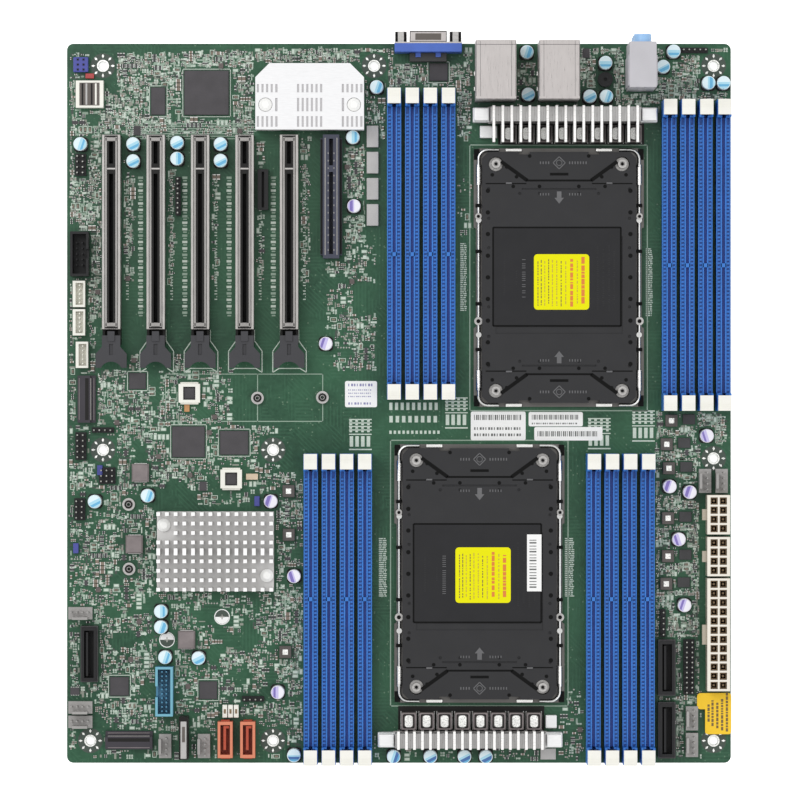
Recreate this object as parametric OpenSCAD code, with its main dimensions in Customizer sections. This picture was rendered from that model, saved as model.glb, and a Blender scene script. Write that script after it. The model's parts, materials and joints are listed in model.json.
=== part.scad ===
// Two-socket extended-ATX system board.
// Frame: origin at the board's centre on its underside, +X to the right, +Y to the rear
// (connector) edge, +Z up. Places are given from the board's edges.

/* [Board] */
// Width of the board, side to side
board_w = 304.8; // [304:0.1:380]
// Depth of the board, rear edge to front edge
board_d = 330.2; // [330:0.1:400]
// Thickness of the board
board_t = 2; // [1.6:0.1:2.8]
// Radius of the board's corners
board_corner_r = 3; // [1:0.5:5]
// Diameter of the mounting holes
mount_hole_d = 3.96; // [3.2:0.02:4.4]
// Distance of the rear and front hole rows from their edges
mount_edge = 10.16; // [8:0.01:12]

/* [Memory sockets] */
// Distance between neighbouring memory sockets
dimm_pitch = 8.25; // [8:0.05:10]
// Width of one memory socket
dimm_w = 6.5; // [5.5:0.1:6.8]
// Length of a memory socket, latch to latch
dimm_len = 142; // [130:1:144]
// Height of the socket's contact bar above the board
dimm_h = 9; // [7:0.5:10]
// Width of the channel that takes the memory module
dimm_slot_w = 1.4; // [1.3:0.1:2]
// Diameter of a latch's pivot pin
latch_pin_d = 2; // [1.6:0.1:2.4]
// Radial clearance of a pivot pin in its ear
pin_clearance = 0.05; // [0.02:0.01:0.1]

/* [Expansion slots] */
// Distance between neighbouring expansion slots
pcie_pitch = 20.32; // [18:0.01:22]
// Length of a long expansion slot over its metal shell
pcie_len = 89; // [80:0.5:92]
// Width of a long expansion slot over its metal shell
pcie_w = 8.4; // [8:0.1:9]
// Height of an expansion slot above the board
pcie_h = 11.2; // [9:0.1:12]
// Width of the card channel
pcie_slot_w = 1.8; // [1.6:0.1:2.2]

/* [Processor sockets] */
// Width of a processor socket's steel frame
cpu_w = 78; // [76:0.5:80]
// Length of a processor socket's steel frame
cpu_len = 118.5; // [114:0.5:120]
// Thickness of the steel frame
cpu_frame_t = 3.2; // [2.4:0.1:4]
// Distance between the cooler studs, side to side
stud_x = 57.8; // [56:0.1:60]
// Distance between the cooler studs, front to rear
stud_y = 103.8; // [100:0.1:105]
// Radius of a cooler stud
stud_r = 2; // [1.8:0.1:2.4]
// Height of the dust cover over the frame
cover_h = 5.4; // [5:0.1:7]

/* [Heat sinks] */
// Width of the chipset heat sink
chipset_w = 53.6; // [50:0.1:56]
// Depth of the chipset heat sink
chipset_d = 36.5; // [34:0.1:38]
// Height of the chipset heat sink's pins
chipset_pin_h = 8; // [5:0.5:14]
// Width of the network heat sink
lan_w = 49.6; // [46:0.1:50]
// Depth of the network heat sink
lan_d = 30.3; // [28:0.1:31]
// Height of the power stage heat sinks
vrm_h = 16; // [12:0.5:22]

/* [Rear ports] */
// Width of a network and serial bus port stack
stack_w = 18.4; // [17:0.1:19]
// Depth of a port stack
stack_d = 26.6; // [24:0.1:28]
// Height of a port stack
stack_h = 29.6; // [28:0.1:32]
// Radius of an audio jack's bore
jack_r = 1.8; // [1.75:0.01:1.9]

/* [Power] */
// Contact pitch of the power connectors
power_pitch = 4.2; // [3.8:0.1:4.3]
// Height of the power connectors
power_h = 13; // [11:0.5:15]

/* [Hidden] */
$fn = 32;
top = board_t;
gap = 0.3;               // space kept between pieces that don't touch
eps = 0.01;              // overrun of a cut
underside_h = 2;         // how far the back plates and board locks stand below the board
left = -board_w / 2;
right = board_w / 2;
rear = board_d / 2;
front = -board_d / 2;

// Mounting holes: [x, y] of each centre
hole_left = 16.5;
hole_mid = 141;
hole_right = 7.9;
hole_centre = 94.6;
hole_front_left = 10.7;
hole_row_mid = 186.5;
hole_row_right = 190.4;
MOUNT_HOLES = [
    [left + hole_left, rear - mount_edge],
    [left + hole_mid, rear - mount_edge],
    [right - hole_right, rear - mount_edge],
    [left + hole_left, rear - hole_row_mid],
    [left + hole_centre, rear - hole_row_mid],
    [right - hole_right, rear - hole_row_right],
    [left + hole_front_left, front + mount_edge],
    [left + hole_centre, front + mount_edge],
    [right - hole_right, front + mount_edge]];

// Memory banks: [x of the bank's middle, y of the bank's middle, side of the key]
BANK_A = [right - 142.2, rear - 21.4 - dimm_len / 2, -1];
BANK_B = [right - 16.3, rear - 26.5 - dimm_len / 2, -1];
BANK_C = [right - 180.35, front + dimm_len / 2, 1];
BANK_D = [right - 51, front + dimm_len / 2, 1];
dimm_count = 4;
dimm_end = 8;            // length of the tower that holds a latch
dimm_tower_h = 15.5;
dimm_key = 4.5;          // offset of the key from the middle
cheek = 1.15;            // wall of a tower or a slot ear
latch_rise = 15.2;       // height of a latch over its pin
latch_pin_z = top + 4;
latch_pin_in = 3;        // distance of a latch's pin from the socket's end

// Expansion slots
pcie_x = left + 20.9;
pcie_rear = rear - 42.3;
pcie_count = 5;
pcie_key = 15.6;         // distance of the key from the slot's rear end
pcie_ear = 7;            // length of the ears that hold a card latch
pcie_pin_z = top + 3.6;
pcie_pin_out = 4.6;      // distance of a card latch's pin from the slot's end
shell_t = 0.4;
foot_h = 1.3;            // height of a slot's foot under its shell
mouth_w = 3.6;           // width of the shell's opening
ear_h = 6.6;             // height of the ears that hold a card latch
x8_x = left + 121.4;
x8_len = 56.5;
x8_w = 10;

// Processor sockets: [x, y] of each middle
CPU_1 = [right - 79.1, rear - 107.5];
CPU_2 = [right - 115.5, rear - 243.1];
base_h = 2.4;            // height of the contact housing
window_x = 63;
window_y = 84;
cover_w = 70.4;
cover_len = 114.8;
cover_wall = 1.2;
nut_r = 3.1;
// The shank that holds a stud in the frame
shank_r = stud_r - 0.4;
wire_r = 0.75;
sleeve_r = 1.25;         // radius of the sleeves that the spring wires turn in
frame_top = top + cpu_frame_t;
cover_top = frame_top + cover_h;

// Power stages: [x, y, side that the heat sink lies on, heat sink's offset along X]
VRM_1 = [right - 73.3, rear - 41.6, 1, -3];
VRM_2 = [right - 119.2, rear - 310.7, -1, -0.6];
choke_pitch = 8.2;
choke_count = 8;
choke_w = 6.9;
choke_d = 8;
choke_h = 6.4;
vrm_len = 84.6;
vrm_d = 7.8;

// Heat sinks: [x, y] of each middle
CHIPSET = [left + 68.3, rear - 232.95];
LAN = [left + 111.65, rear - 24.95];
chip_h = 1.9;            // height of the packages under the heat sinks
sink_base = 2.6;
lan_h = 11;
PUSH_PINS = [[-chipset_w / 2 + 3.2, chipset_d / 2 - 6.2], [chipset_w / 2 - 3.2, -chipset_d / 2 + 7.2]];
LAN_PINS = [[-lan_w / 2 + 4.6, -3.8], [lan_w / 2 - 4.6, -3.8]];
pin_head_r = 3;
pin_shaft_r = 1.4;

// Rear ports
STACKS_X = [right - 108.4, right - 79.6];
stack_rear = rear - 0.4;
audio_x = right - 41.9;
audio_w = 12.2;
audio_d = 20.6;
audio_h = 33;
audio_rear = rear - 1.4;
nose_r = 4;
nose_out = 3.6;
jack_z = [6.5, 17, 27.5];
vga_x = right - 139;
vga_w = 30.8;
vga_h = 12.4;
vga_rear = rear - 0.6;
vga_plate = 4;
vga_out = 5.8;
vga_screw = 12.5;        // jackscrew's distance from the middle

// Power connectors: [rows, y of the middle]
power_x = right - 6.4;
power_wall = 1;
power_cell = 3.3;
POWER = [[4, rear - 216], [4, rear - 235.1], [12, rear - 270.8]];

module box(w, d, h) {
    translate([-w / 2, -d / 2, 0]) cube([w, d, h]);
}

// A plate with true round corners
module round_plate(w, d, h, r) {
    difference() {
        box(w, d, h);
        for (sx = [-1, 1], sy = [-1, 1]) {
            translate([sx * w / 2, sy * d / 2, h / 2]) cube([2 * r, 2 * r, h + 1], center = true);
        }
    }
    for (sx = [-1, 1], sy = [-1, 1]) {
        translate([sx * (w / 2 - r), sy * (d / 2 - r), 0]) cylinder(h = h, r = r);
    }
}

// A round bar along X, centred
module bar_x(len, r) {
    rotate([0, 90, 0]) cylinder(h = len, r = r, center = true);
}

module circuit_board() {
    color("darkgreen") difference() {
        round_plate(board_w, board_d, board_t, board_corner_r);
        for (p = MOUNT_HOLES) {
            translate([p[0], p[1], -eps]) cylinder(h = board_t + 2 * eps, d = mount_hole_d);
        }
        for (p = PUSH_PINS) {
            translate([CHIPSET[0] + p[0], CHIPSET[1] + p[1], -eps]) push_pin_hole();
        }
        for (p = LAN_PINS) {
            translate([LAN[0] + p[0], LAN[1] + p[1], -eps]) push_pin_hole();
        }
    }
}

module push_pin_hole() {
    cylinder(h = board_t + 2 * eps, r = pin_shaft_r + 0.1);
}

// One memory socket, centred, lying along Y
module dimm_socket(key_side) {
    inner = dimm_len - 2 * dimm_end;
    difference() {
        union() {
            box(dimm_w, inner + 2 * eps, dimm_h);
            for (s = [-1, 1]) {
                translate([0, s * (dimm_len - dimm_end) / 2, 0]) dimm_tower(s);
            }
        }
        difference() {
            translate([0, 0, 2]) box(dimm_slot_w, inner - 3, dimm_h);
            translate([0, key_side * dimm_key, 0]) box(dimm_w, 1.6, dimm_h);
        }
    }
}

// The tower at one end of a memory socket: two ears with bores for the latch
module dimm_tower(s) {
    difference() {
        box(dimm_w, dimm_end, dimm_tower_h);
        translate([0, 0, 1]) box(dimm_w - 2 * cheek, dimm_end + 1, dimm_tower_h);
        translate([0, s * (dimm_end / 2 - latch_pin_in), latch_pin_z - top]) {
            bar_x(dimm_w + 2, latch_pin_d / 2 + pin_clearance);
        }
    }
}

module dimm_bank(bank) {
    color("royalblue") for (i = [0:dimm_count - 1]) {
        translate([dimm_x(bank, i), bank[1], top]) dimm_socket(bank[2]);
    }
}

function dimm_x(bank, i) = bank[0] + (i - (dimm_count - 1) / 2) * dimm_pitch;

// One memory latch about its pin: s is the side of the socket that it closes
module dimm_latch(s) {
    stem_w = dimm_w - 2 * cheek - 2 * gap;
    bar_x(dimm_w - 0.2, latch_pin_d / 2);
    bar_x(stem_w, 1.8);
    translate([0, 0, latch_rise / 2]) cube([stem_w, 3.2, latch_rise], center = true);
    translate([0, -s * 2.2, 9.8]) cube([stem_w, 2.4, 1.6], center = true);
    translate([0, -s * 0.5, latch_rise - 1.2]) cube([dimm_w - 0.5, 7, 2.4], center = true);
    for (k = [0:2]) {
        translate([0, s * (1.9 - k * 1.1), latch_rise]) cube([dimm_w - 1.4, 0.5, 0.5], center = true);
    }
}

// The four latches at one end of a bank
module bank_latches(bank, s) {
    color("ivory") for (i = [0:dimm_count - 1]) {
        translate([dimm_x(bank, i), bank[1] + s * (dimm_len / 2 - latch_pin_in), latch_pin_z]) {
            dimm_latch(s);
        }
    }
}

function slot_x(i) = pcie_x + i * pcie_pitch;

// The plastic body of a slot: its foot shows under the metal shell
module slot_body(len, w) {
    difference() {
        union() {
            translate([0, -len / 2, 0]) box(w, len, foot_h);
            translate([0, -len / 2, 0]) box(w - 2 * shell_t, len - 2 * shell_t, pcie_h - shell_t);
            translate([0, -len / 2, 0]) box(mouth_w, len - 6, pcie_h);
        }
        translate([0, -pcie_key / 2 + 0.2, 2.4]) box(pcie_slot_w, pcie_key - 4, pcie_h);
        translate([0, -(len + pcie_key) / 2 + 0.4, 2.4]) {
            box(pcie_slot_w, len - pcie_key - 4, pcie_h);
        }
    }
}

// The pressed metal shell over a slot's body, open along the card channel
module slot_shell(len, w) {
    difference() {
        translate([0, -len / 2, foot_h]) box(w, len, pcie_h - foot_h);
        translate([0, -len / 2, -eps]) box(w - 2 * shell_t, len - 2 * shell_t, pcie_h - shell_t + eps);
        translate([0, -len / 2, 0]) box(mouth_w, len - 6, pcie_h + 1);
    }
}

// The ears beyond a slot's front end that hold its card latch
module slot_ears() {
    for (s = [-1, 1]) {
        translate([s * (pcie_w / 2 - cheek / 2), -pcie_len - pcie_ear / 2, 0]) {
            difference() {
                box(cheek, pcie_ear, ear_h);
                translate([0, pcie_ear / 2 - pcie_pin_out, pcie_pin_z - top]) {
                    bar_x(cheek + 2, latch_pin_d / 2 + pin_clearance);
                }
            }
        }
    }
    translate([0, -pcie_len - pcie_ear / 2 + eps, 0]) box(pcie_w, pcie_ear, 1);
}

module pcie_slot_bodies() {
    color([0.1, 0.1, 0.11]) for (i = [0:pcie_count - 1]) {
        translate([slot_x(i), pcie_rear, top]) {
            slot_body(pcie_len, pcie_w);
            slot_ears();
        }
    }
}

module pcie_slot_shells() {
    color("silver") for (i = [0:pcie_count - 1]) {
        translate([slot_x(i), pcie_rear, top]) slot_shell(pcie_len, pcie_w);
    }
}

// A card latch: a stem on a pin, a broad thumb paddle and the nose that holds the card
module pcie_latch(i) {
    stem_w = pcie_w - 2 * cheek - 2 * gap;
    color([0.18, 0.18, 0.2]) translate([slot_x(i), pcie_rear - pcie_len - pcie_pin_out, pcie_pin_z]) {
        bar_x(pcie_w - 0.2, latch_pin_d / 2);
        bar_x(stem_w, 2.2);
        translate([0, 0, 3.7]) cube([stem_w, 3.6, 7.4], center = true);
        translate([0, 1.4, 7.6]) cube([pcie_slot_w + 1.4, 4.6, 2], center = true);
        translate([0, 0, 5.6]) difference() {
            linear_extrude(2.2) polygon([
                [-pcie_w / 2, 1.8], [-pcie_w / 2, -3.4], [-7.1, -6.6], [-7.1, -13], [7.1, -13],
                [7.1, -6.6], [pcie_w / 2, -3.4], [pcie_w / 2, 1.8]]);
            translate([0, -15.6, -eps]) cylinder(h = 3, r = 5.4);
            translate([0, -4.6, 1.2]) box(1.8, 5, 2);
        }
    }
}

module pcie_short_slot() {
    color([0.13, 0.14, 0.2]) translate([x8_x, pcie_rear, top]) difference() {
        union() {
            translate([0, -x8_len / 2, 0]) box(7.4, x8_len, pcie_h);
            translate([0, -x8_len / 2, 0]) box(x8_w, x8_len - 3, 7.6);
        }
        translate([0, -pcie_key / 2 - 0.2, 2.4]) box(pcie_slot_w, pcie_key - 3.4, pcie_h);
        translate([0, -(x8_len + pcie_key) / 2 + 0.2, 2.4]) {
            box(pcie_slot_w, x8_len - pcie_key - 3.4, pcie_h);
        }
    }
}

// The insulating sheet and the contact housing of one processor socket
module socket_base(p) {
    color([0.12, 0.12, 0.13]) translate([p[0], p[1], top]) difference() {
        union() {
            box(window_x - 2 * gap, window_y - 2 * gap, base_h);
            translate([-window_x / 2 + 4, -window_y / 2 + 4, 0]) cylinder(h = base_h + 0.8, r = 2);
            translate([window_x / 2 - 4, window_y / 2 - 4, 0]) cylinder(h = base_h + 0.8, r = 1.6);
        }
        translate([0, 0, -eps]) box(22, 30, base_h + 1);
    }
}

module socket_frame(p) {
    color("gray") translate([p[0], p[1], top]) difference() {
        round_plate(cpu_w, cpu_len, cpu_frame_t, 3);
        translate([0, 0, -eps]) box(window_x, window_y, cpu_frame_t + 1);
        for (s = [-1, 1]) {
            translate([0, s * (window_y / 2 + 7.5), -eps]) box(26, 6, cpu_frame_t + 1);
            translate([s * (cpu_w / 2 + 2), 0, -eps]) round_plate(6, 46, cpu_frame_t + 1, 1);
        }
        stud_places() translate([0, 0, -eps]) cylinder(h = cpu_frame_t + 1, r = shank_r);
    }
}

module stud_places() {
    for (sx = [-1, 1], sy = [-1, 1]) {
        translate([sx * stud_x / 2, sy * stud_y / 2, 0]) children();
    }
}

// Four studs that rise from the board through the frame, each with its nut
module frame_studs(p) {
    color("silver") translate([p[0], p[1], top]) stud_places() {
        cylinder(h = cpu_frame_t, r = shank_r);
        translate([0, 0, cpu_frame_t]) difference() {
            union() {
                cylinder(h = cover_h + 0.6, r = stud_r);
                cylinder(h = 1.6, r = nut_r);
            }
            translate([0, 0, cover_h - 0.8]) cylinder(h = 2, r = 1.3, $fn = 6);
        }
    }
}

// The two spring wires along the frame's sides, hooked round the cover's corners
module frame_wires(p) {
    bend = 4.2;
    run = cover_len / 2 + gap + wire_r - bend;
    side = cover_w / 2 + gap + sleeve_r;
    color("gainsboro") translate([p[0], p[1], frame_top + sleeve_r]) for (mx = [0, 1]) {
        mirror([mx, 0, 0]) {
            translate([side, 0, 0]) rotate([90, 0, 0]) cylinder(h = 2 * run, r = wire_r, center = true);
            for (my = [0, 1]) mirror([0, my, 0]) {
                translate([side - bend, run, 0]) {
                    rotate_extrude(angle = 90) translate([bend, 0]) circle(r = wire_r, $fn = 16);
                    translate([-2.5, bend, 0]) bar_x(5, wire_r);
                }
                translate([side, run - 7, 0]) rotate([90, 0, 0]) {
                    cylinder(h = 9, r = sleeve_r, center = true);
                }
                translate([side, run - 28, -sleeve_r]) cylinder(h = 2 * sleeve_r, r = sleeve_r);
            }
        }
    }
}

module cover_outline() {
    difference() {
        square([cover_w, cover_len], center = true);
        for (sx = [-1, 1], sy = [-1, 1]) {
            translate([sx * cover_w / 2, sy * cover_len / 2]) rotate(45) square([4, 4], center = true);
            translate([sx * 16, sy * cover_len / 2]) square([5, 2.4], center = true);
        }
    }
}

// The dust cover: a shallow cap with a raised bridge at each end and a pocket in the middle
module socket_cover(p) {
    skin = cover_wall;
    color([0.2, 0.2, 0.21]) translate([p[0], p[1], frame_top]) difference() {
        union() {
            difference() {
                linear_extrude(cover_h) cover_outline();
                translate([0, 0, -eps]) linear_extrude(cover_h - skin) {
                    offset(delta = -skin) cover_outline();
                }
            }
            stud_places() cylinder(h = cover_h - skin / 2, r = nut_r + gap + skin);
        }
        stud_places() translate([0, 0, -eps]) cylinder(h = cover_h + 1, r = nut_r + gap);
        translate([0, -3.5, cover_h - 0.4]) box(58, 44.6, 1);
        for (s = [-1, 1], k = [-3:3]) {
            translate([s * (cover_w / 2 - 3), k * 13.5, cover_h - 0.6]) cylinder(h = 1, r = 0.7);
        }
        for (s = [-1, 1], k = [-2:2]) {
            translate([k * 9, s * (cover_len / 2 - 19), cover_h - 0.6]) cylinder(h = 1, r = 0.7);
        }
        for (s = [-1, 1]) {
            translate([0, s * (cover_len / 2 - 17), cover_h - 0.5]) box(34, 0.8, 1);
        }
    }
}

// The steel plate under the board that the frame is bolted to
module back_plate(p) {
    color("dimgray") translate([p[0], p[1], -underside_h]) difference() {
        round_plate(cpu_w - 2, cpu_len - 4, underside_h, 4);
        translate([0, 0, -eps]) round_plate(30, 30, underside_h + 1, 3);
        stud_places() translate([0, 0, -eps]) cylinder(h = 1.2, r = 3);
    }
}

// A finned heat sink over the power stages, on feet at both ends
module vrm_heat_sink(v) {
    fins = 20;
    pitch = (vrm_len - 18) / (fins - 1);
    color("silver") translate([v[0] + v[3], v[1] + vrm_y(v), top]) {
        translate([0, 0, 2]) box(vrm_len - 14, vrm_d, 3);
        for (i = [0:fins - 1]) {
            translate([-(vrm_len - 18) / 2 + i * pitch, 0, 5 - eps]) box(1.2, vrm_d, vrm_h - 5);
        }
        for (e = [-1, 1]) {
            translate([e * (vrm_len / 2 - 4), 0, 0]) difference() {
                box(8, 6.4, 7);
                translate([0, 0, 5.2]) cylinder(h = 3, r = 2);
            }
            translate([e * (vrm_len / 2 - 7.6), 0, 2]) box(4, 6.4, 3);
        }
    }
}

module vrm_screws() {
    color("gainsboro") for (v = [VRM_1, VRM_2], e = [-1, 1]) {
        translate([v[0] + v[3] + e * (vrm_len / 2 - 4), v[1] + vrm_y(v), top + 5.2]) difference() {
            cylinder(h = 2.4, r = 1.95);
            translate([0, 0, 1.4]) box(2.6, 0.6, 2);
            translate([0, 0, 1.4]) box(0.6, 2.6, 2);
        }
    }
}

function vrm_y(v) = v[2] * (choke_d / 2 + vrm_d / 2 + 0.6);

function choke_x(v, i) = v[0] + (i - (choke_count - 1) / 2) * choke_pitch;

// A choke: a core with a metal strap folded over both sides
module choke() {
    box(choke_w, choke_d, choke_h - 0.6);
    box(choke_w - 2.6, choke_d - 3.4, choke_h);
}

module power_chokes() {
    color("darkgray") for (v = [VRM_1, VRM_2], i = [0:choke_count - 1]) {
        translate([choke_x(v, i), v[1], top]) choke();
    }
}

module chipset_heat_sink() {
    cols = 14;
    rows = 9;
    px = (chipset_w - 2) / (cols - 1);
    py = (chipset_d - 2) / (rows - 1);
    color("silver") translate([CHIPSET[0], CHIPSET[1], top + chip_h]) difference() {
        union() {
            box(chipset_w, chipset_d, sink_base);
            for (c = [0:cols - 1], r = [0:rows - 1]) {
                at = [(c - (cols - 1) / 2) * px, (r - (rows - 1) / 2) * py];
                if (min([for (q = PUSH_PINS) norm(at - q)]) > pin_head_r + 1.4) {
                    translate([at[0], at[1], sink_base - eps]) {
                        box(1.7, r == (rows - 1) / 2 ? 3.2 : 1.7, chipset_pin_h);
                    }
                }
            }
        }
        for (q = PUSH_PINS) {
            translate([q[0], q[1], -eps]) cylinder(h = sink_base + 1, r = pin_shaft_r + 0.2);
        }
    }
}

module network_heat_sink() {
    chamfer = 6.4;
    color("whitesmoke") translate([LAN[0], LAN[1], top + chip_h]) difference() {
        linear_extrude(lan_h) polygon([
            [-lan_w / 2, -lan_d / 2], [lan_w / 2, -lan_d / 2], [lan_w / 2, lan_d / 2 - chamfer],
            [lan_w / 2 - chamfer, lan_d / 2], [-lan_w / 2 + chamfer, lan_d / 2],
            [-lan_w / 2, lan_d / 2 - chamfer]]);
        // Rows of slots, [y, length], each in three groups, [x of the first, number]; a pin takes some
        for (row = [[-11.5, 4.8], [-3.8, 6.1], [3.7, 3.8]], group = [[-23.6, 5], [-5.25, 6], [15.2, 5]],
             k = [0:group[1] - 1]) {
            x = group[0] + 2.1 * k;
            if (row[1] < 5 || abs(x) < 16) {
                translate([x, row[0], sink_base]) box(0.95, row[1], lan_h);
            }
        }
        for (q = LAN_PINS) {
            translate([q[0], q[1], -eps]) cylinder(h = lan_h + 1, r = pin_shaft_r + 0.2);
            translate([q[0], q[1], lan_h - 1.6]) cylinder(h = 2, r = pin_head_r + 0.2);
        }
    }
}

// A sprung push pin: a head, a shaft through the board and a barbed end under it
module push_pin(seat) {
    cylinder(h = 1.4, r = pin_head_r);
    translate([0, 0, 1.4]) cylinder(h = 1, r1 = pin_head_r, r2 = 1.6);
    translate([0, 0, -seat - underside_h + 0.4]) cylinder(h = seat + underside_h, r = pin_shaft_r);
    translate([0, 0, -seat - 1.4]) cylinder(h = 1.3, r1 = 1.2, r2 = 2.1);
}

module heat_sink_push_pins() {
    color("white") {
        for (q = PUSH_PINS) {
            seat = top + chip_h + sink_base;
            translate([CHIPSET[0] + q[0], CHIPSET[1] + q[1], seat]) push_pin(seat);
        }
        for (q = LAN_PINS) {
            seat = top + chip_h + lan_h - 1.6;
            translate([LAN[0] + q[0], LAN[1] + q[1], seat]) push_pin(seat);
        }
    }
}

// Port stacks: a network socket over two serial bus sockets
port_w = 13.4;
net_w = 12;
net_h = 8.6;
net_z = 19.2;
bus_h = 5.8;
bus_z = [2.6, 10.4];

module port_openings(extra) {
    translate([0, 0, net_z]) box(net_w + extra, 4, net_h + extra);
    for (z = bus_z) {
        translate([0, 0, z]) box(port_w + extra, 4, bus_h);
    }
}

module port_stack_shells() {
    t = 0.5;
    color("silver") for (x = STACKS_X) {
        translate([x, stack_rear - stack_d / 2, top]) difference() {
            box(stack_w, stack_d, stack_h);
            translate([0, 0, -eps]) box(stack_w - 2 * t, stack_d - 2 * t, stack_h - t);
            translate([0, stack_d / 2, 0]) port_openings(0.2);
        }
    }
}

module port_stack_inserts() {
    t = 0.5 + 0.1;
    color([0.1, 0.1, 0.1]) for (x = STACKS_X) {
        translate([x, stack_rear - stack_d / 2, top]) difference() {
            box(stack_w - 2 * t, stack_d - 2 * t, stack_h - t);
            translate([0, stack_d / 2 - 7.6, net_z]) box(net_w, 14, net_h);
            for (z = bus_z) {
                translate([0, stack_d / 2 - 7.6, z]) difference() {
                    box(port_w, 14, bus_h);
                    translate([0, -1, bus_h - 3]) box(11, 12, 1.8);
                }
            }
        }
    }
}

// Three jacks in one block. Their bores run right through it, so the tip of a plug has room
module audio_stack() {
    color([0.72, 0.73, 0.76]) translate([audio_x, audio_rear - audio_d / 2, top]) difference() {
        union() {
            box(audio_w, audio_d, audio_h);
            translate([0, -2.6, 0]) box(audio_w + 1, audio_d - 7, audio_h - 1.2);
        }
        for (z = jack_z) {
            translate([0, audio_d / 2 + 1, z]) rotate([90, 0, 0]) cylinder(h = audio_d + 2, r = jack_r + 0.4);
        }
    }
}

// The noses of the three jacks, one above the other
module audio_noses() {
    color("lightskyblue") for (z = jack_z) {
        translate([audio_x, audio_rear, top + z]) rotate([-90, 0, 0]) difference() {
            union() {
                cylinder(h = nose_out, r = nose_r);
                translate([0, 0, -3]) cylinder(h = 3 + eps, r = jack_r + 0.4);
            }
            translate([0, 0, -3 - eps]) cylinder(h = nose_out + 4, r = jack_r);
        }
    }
}

module vga_housing() {
    color([0.2, 0.3, 0.75]) translate([vga_x, vga_rear - vga_plate / 2, top]) difference() {
        union() {
            box(vga_w, vga_plate, vga_h);
            translate([0, -vga_plate / 2 - 2, 0]) box(17, 4 + eps, 7);
            vga_insert();
        }
        for (s = [-1, 1]) {
            translate([s * vga_screw, 0, vga_h / 2]) rotate([90, 0, 0]) {
                cylinder(h = vga_plate + 1, r = 1.5, center = true);
            }
        }
    }
}

// The D-shaped outline of the video port
module d_outline(grow) {
    offset(delta = grow) polygon([[-8.3, 3.9], [8.3, 3.9], [7, -3.9], [-7, -3.9]]);
}

module vga_shell() {
    color("gainsboro") translate([vga_x, vga_rear, top + vga_h / 2]) rotate([90, 0, 180]) {
        difference() {
            union() {
                linear_extrude(0.6) square([vga_w, vga_h - 0.6], center = true);
                linear_extrude(vga_out) d_outline(0.1);
            }
            translate([0, 0, -eps]) linear_extrude(vga_out + 1) d_outline(-0.4);
            for (s = [-1, 1]) {
                translate([s * vga_screw, 0, -eps]) cylinder(h = 2, r = 1.5);
            }
        }
    }
}

// The contact block that stands inside the video port's shell
module vga_insert() {
    translate([0, vga_plate / 2 - eps, vga_h / 2]) rotate([90, 0, 180]) difference() {
        linear_extrude(vga_out - 1) d_outline(-0.5);
        for (r = [-1:1], c = [-2:2]) {
            translate([c * 2.3 + r * 0.5, r * 2, 0.8]) cylinder(h = vga_out, r = 0.5);
        }
    }
}

module vga_jackscrews() {
    color("silver") for (s = [-1, 1]) {
        translate([vga_x + s * vga_screw, vga_rear, top + vga_h / 2]) rotate([-90, 0, 0]) {
            difference() {
                union() {
                    translate([0, 0, 0.6]) cylinder(h = 5, r = 2.7, $fn = 6);
                    translate([0, 0, -vga_plate]) cylinder(h = vga_plate + 1, r = 1.4);
                }
                translate([0, 0, 1]) cylinder(h = 6, r = 1.25);
            }
        }
    }
}

function power_len(rows) = rows * power_pitch + 2 * power_wall - 0.9;

// A power connector: two columns of square cells in one housing, with a latch ledge
module power_housing(rows) {
    w = 2 * power_pitch + 2 * power_wall;
    difference() {
        union() {
            box(w, power_len(rows), power_h);
            translate([-w / 2 - 1, 0, power_h - 4.5]) box(2.4, rows > 4 ? 9 : 5, 3);
        }
        for (c = [-0.5, 0.5], r = [0:rows - 1]) {
            translate([c * power_pitch, (r - (rows - 1) / 2) * power_pitch, 2]) {
                box(power_cell, power_cell, power_h);
            }
        }
    }
}

module power_housings() {
    color("antiquewhite") for (p = POWER) {
        translate([power_x, p[1], top]) power_housing(p[0]);
    }
}

// Contact pins in the power connectors, standing on the floors of their cells
module power_pins() {
    color("darkgoldenrod") for (p = POWER, c = [-0.5, 0.5], r = [0:p[0] - 1]) {
        translate([power_x + c * power_pitch, p[1] + (r - (p[0] - 1) / 2) * power_pitch, top + 2]) {
            box(1.6, 1.6, power_h - 5);
        }
    }
}

// Vertical drive ports: a keyed shroud round a thin tongue
SATA_X = [left + 72.9, left + 83.2];
sata_y = front + 11.1;

module sata_ports() {
    color("orangered") for (x = SATA_X) {
        translate([x, sata_y, top]) difference() {
            union() {
                box(6.8, 16.6, 8.4);
                translate([0, 0, 0]) box(4, 17.8, 5);
            }
            difference() {
                translate([0, 0, 1.6]) box(4.4, 13.6, 8);
                translate([-0.2, 0.8, 0]) box(1.2, 11, 7.4);
                translate([0.6, 5.8, 0]) box(2.4, 1.2, 7.4);
            }
        }
    }
}

// A shrouded two-row header for the front panel's serial bus ports
USB3 = [left + 45, front + 33.2];

module front_bus_header() {
    color("steelblue") translate([USB3[0], USB3[1], top]) difference() {
        box(8, 22.6, 9.4);
        difference() {
            translate([0, 0, 1.6]) box(5.8, 20.4, 9);
            for (c = [-1, 1], r = [-4.5:4.5]) {
                translate([c, r * 2, 0]) box(0.7, 0.7, 8);
            }
        }
        translate([-4, 0, 2.4]) box(3, 5, 9);
    }
}

// Low sockets for plug-in drives: [x, y, turn]
M2 = [[left + 9.2, rear - 163.2, 0], [left + 28.6, front + 10.6, 90]];
M2_STUDS = [[left + 87.5, rear - 162.7], [left + 117.3, rear - 162.4],
            [left + 28.6, rear - 241.1], [left + 28.4, rear - 211.5]];

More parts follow.
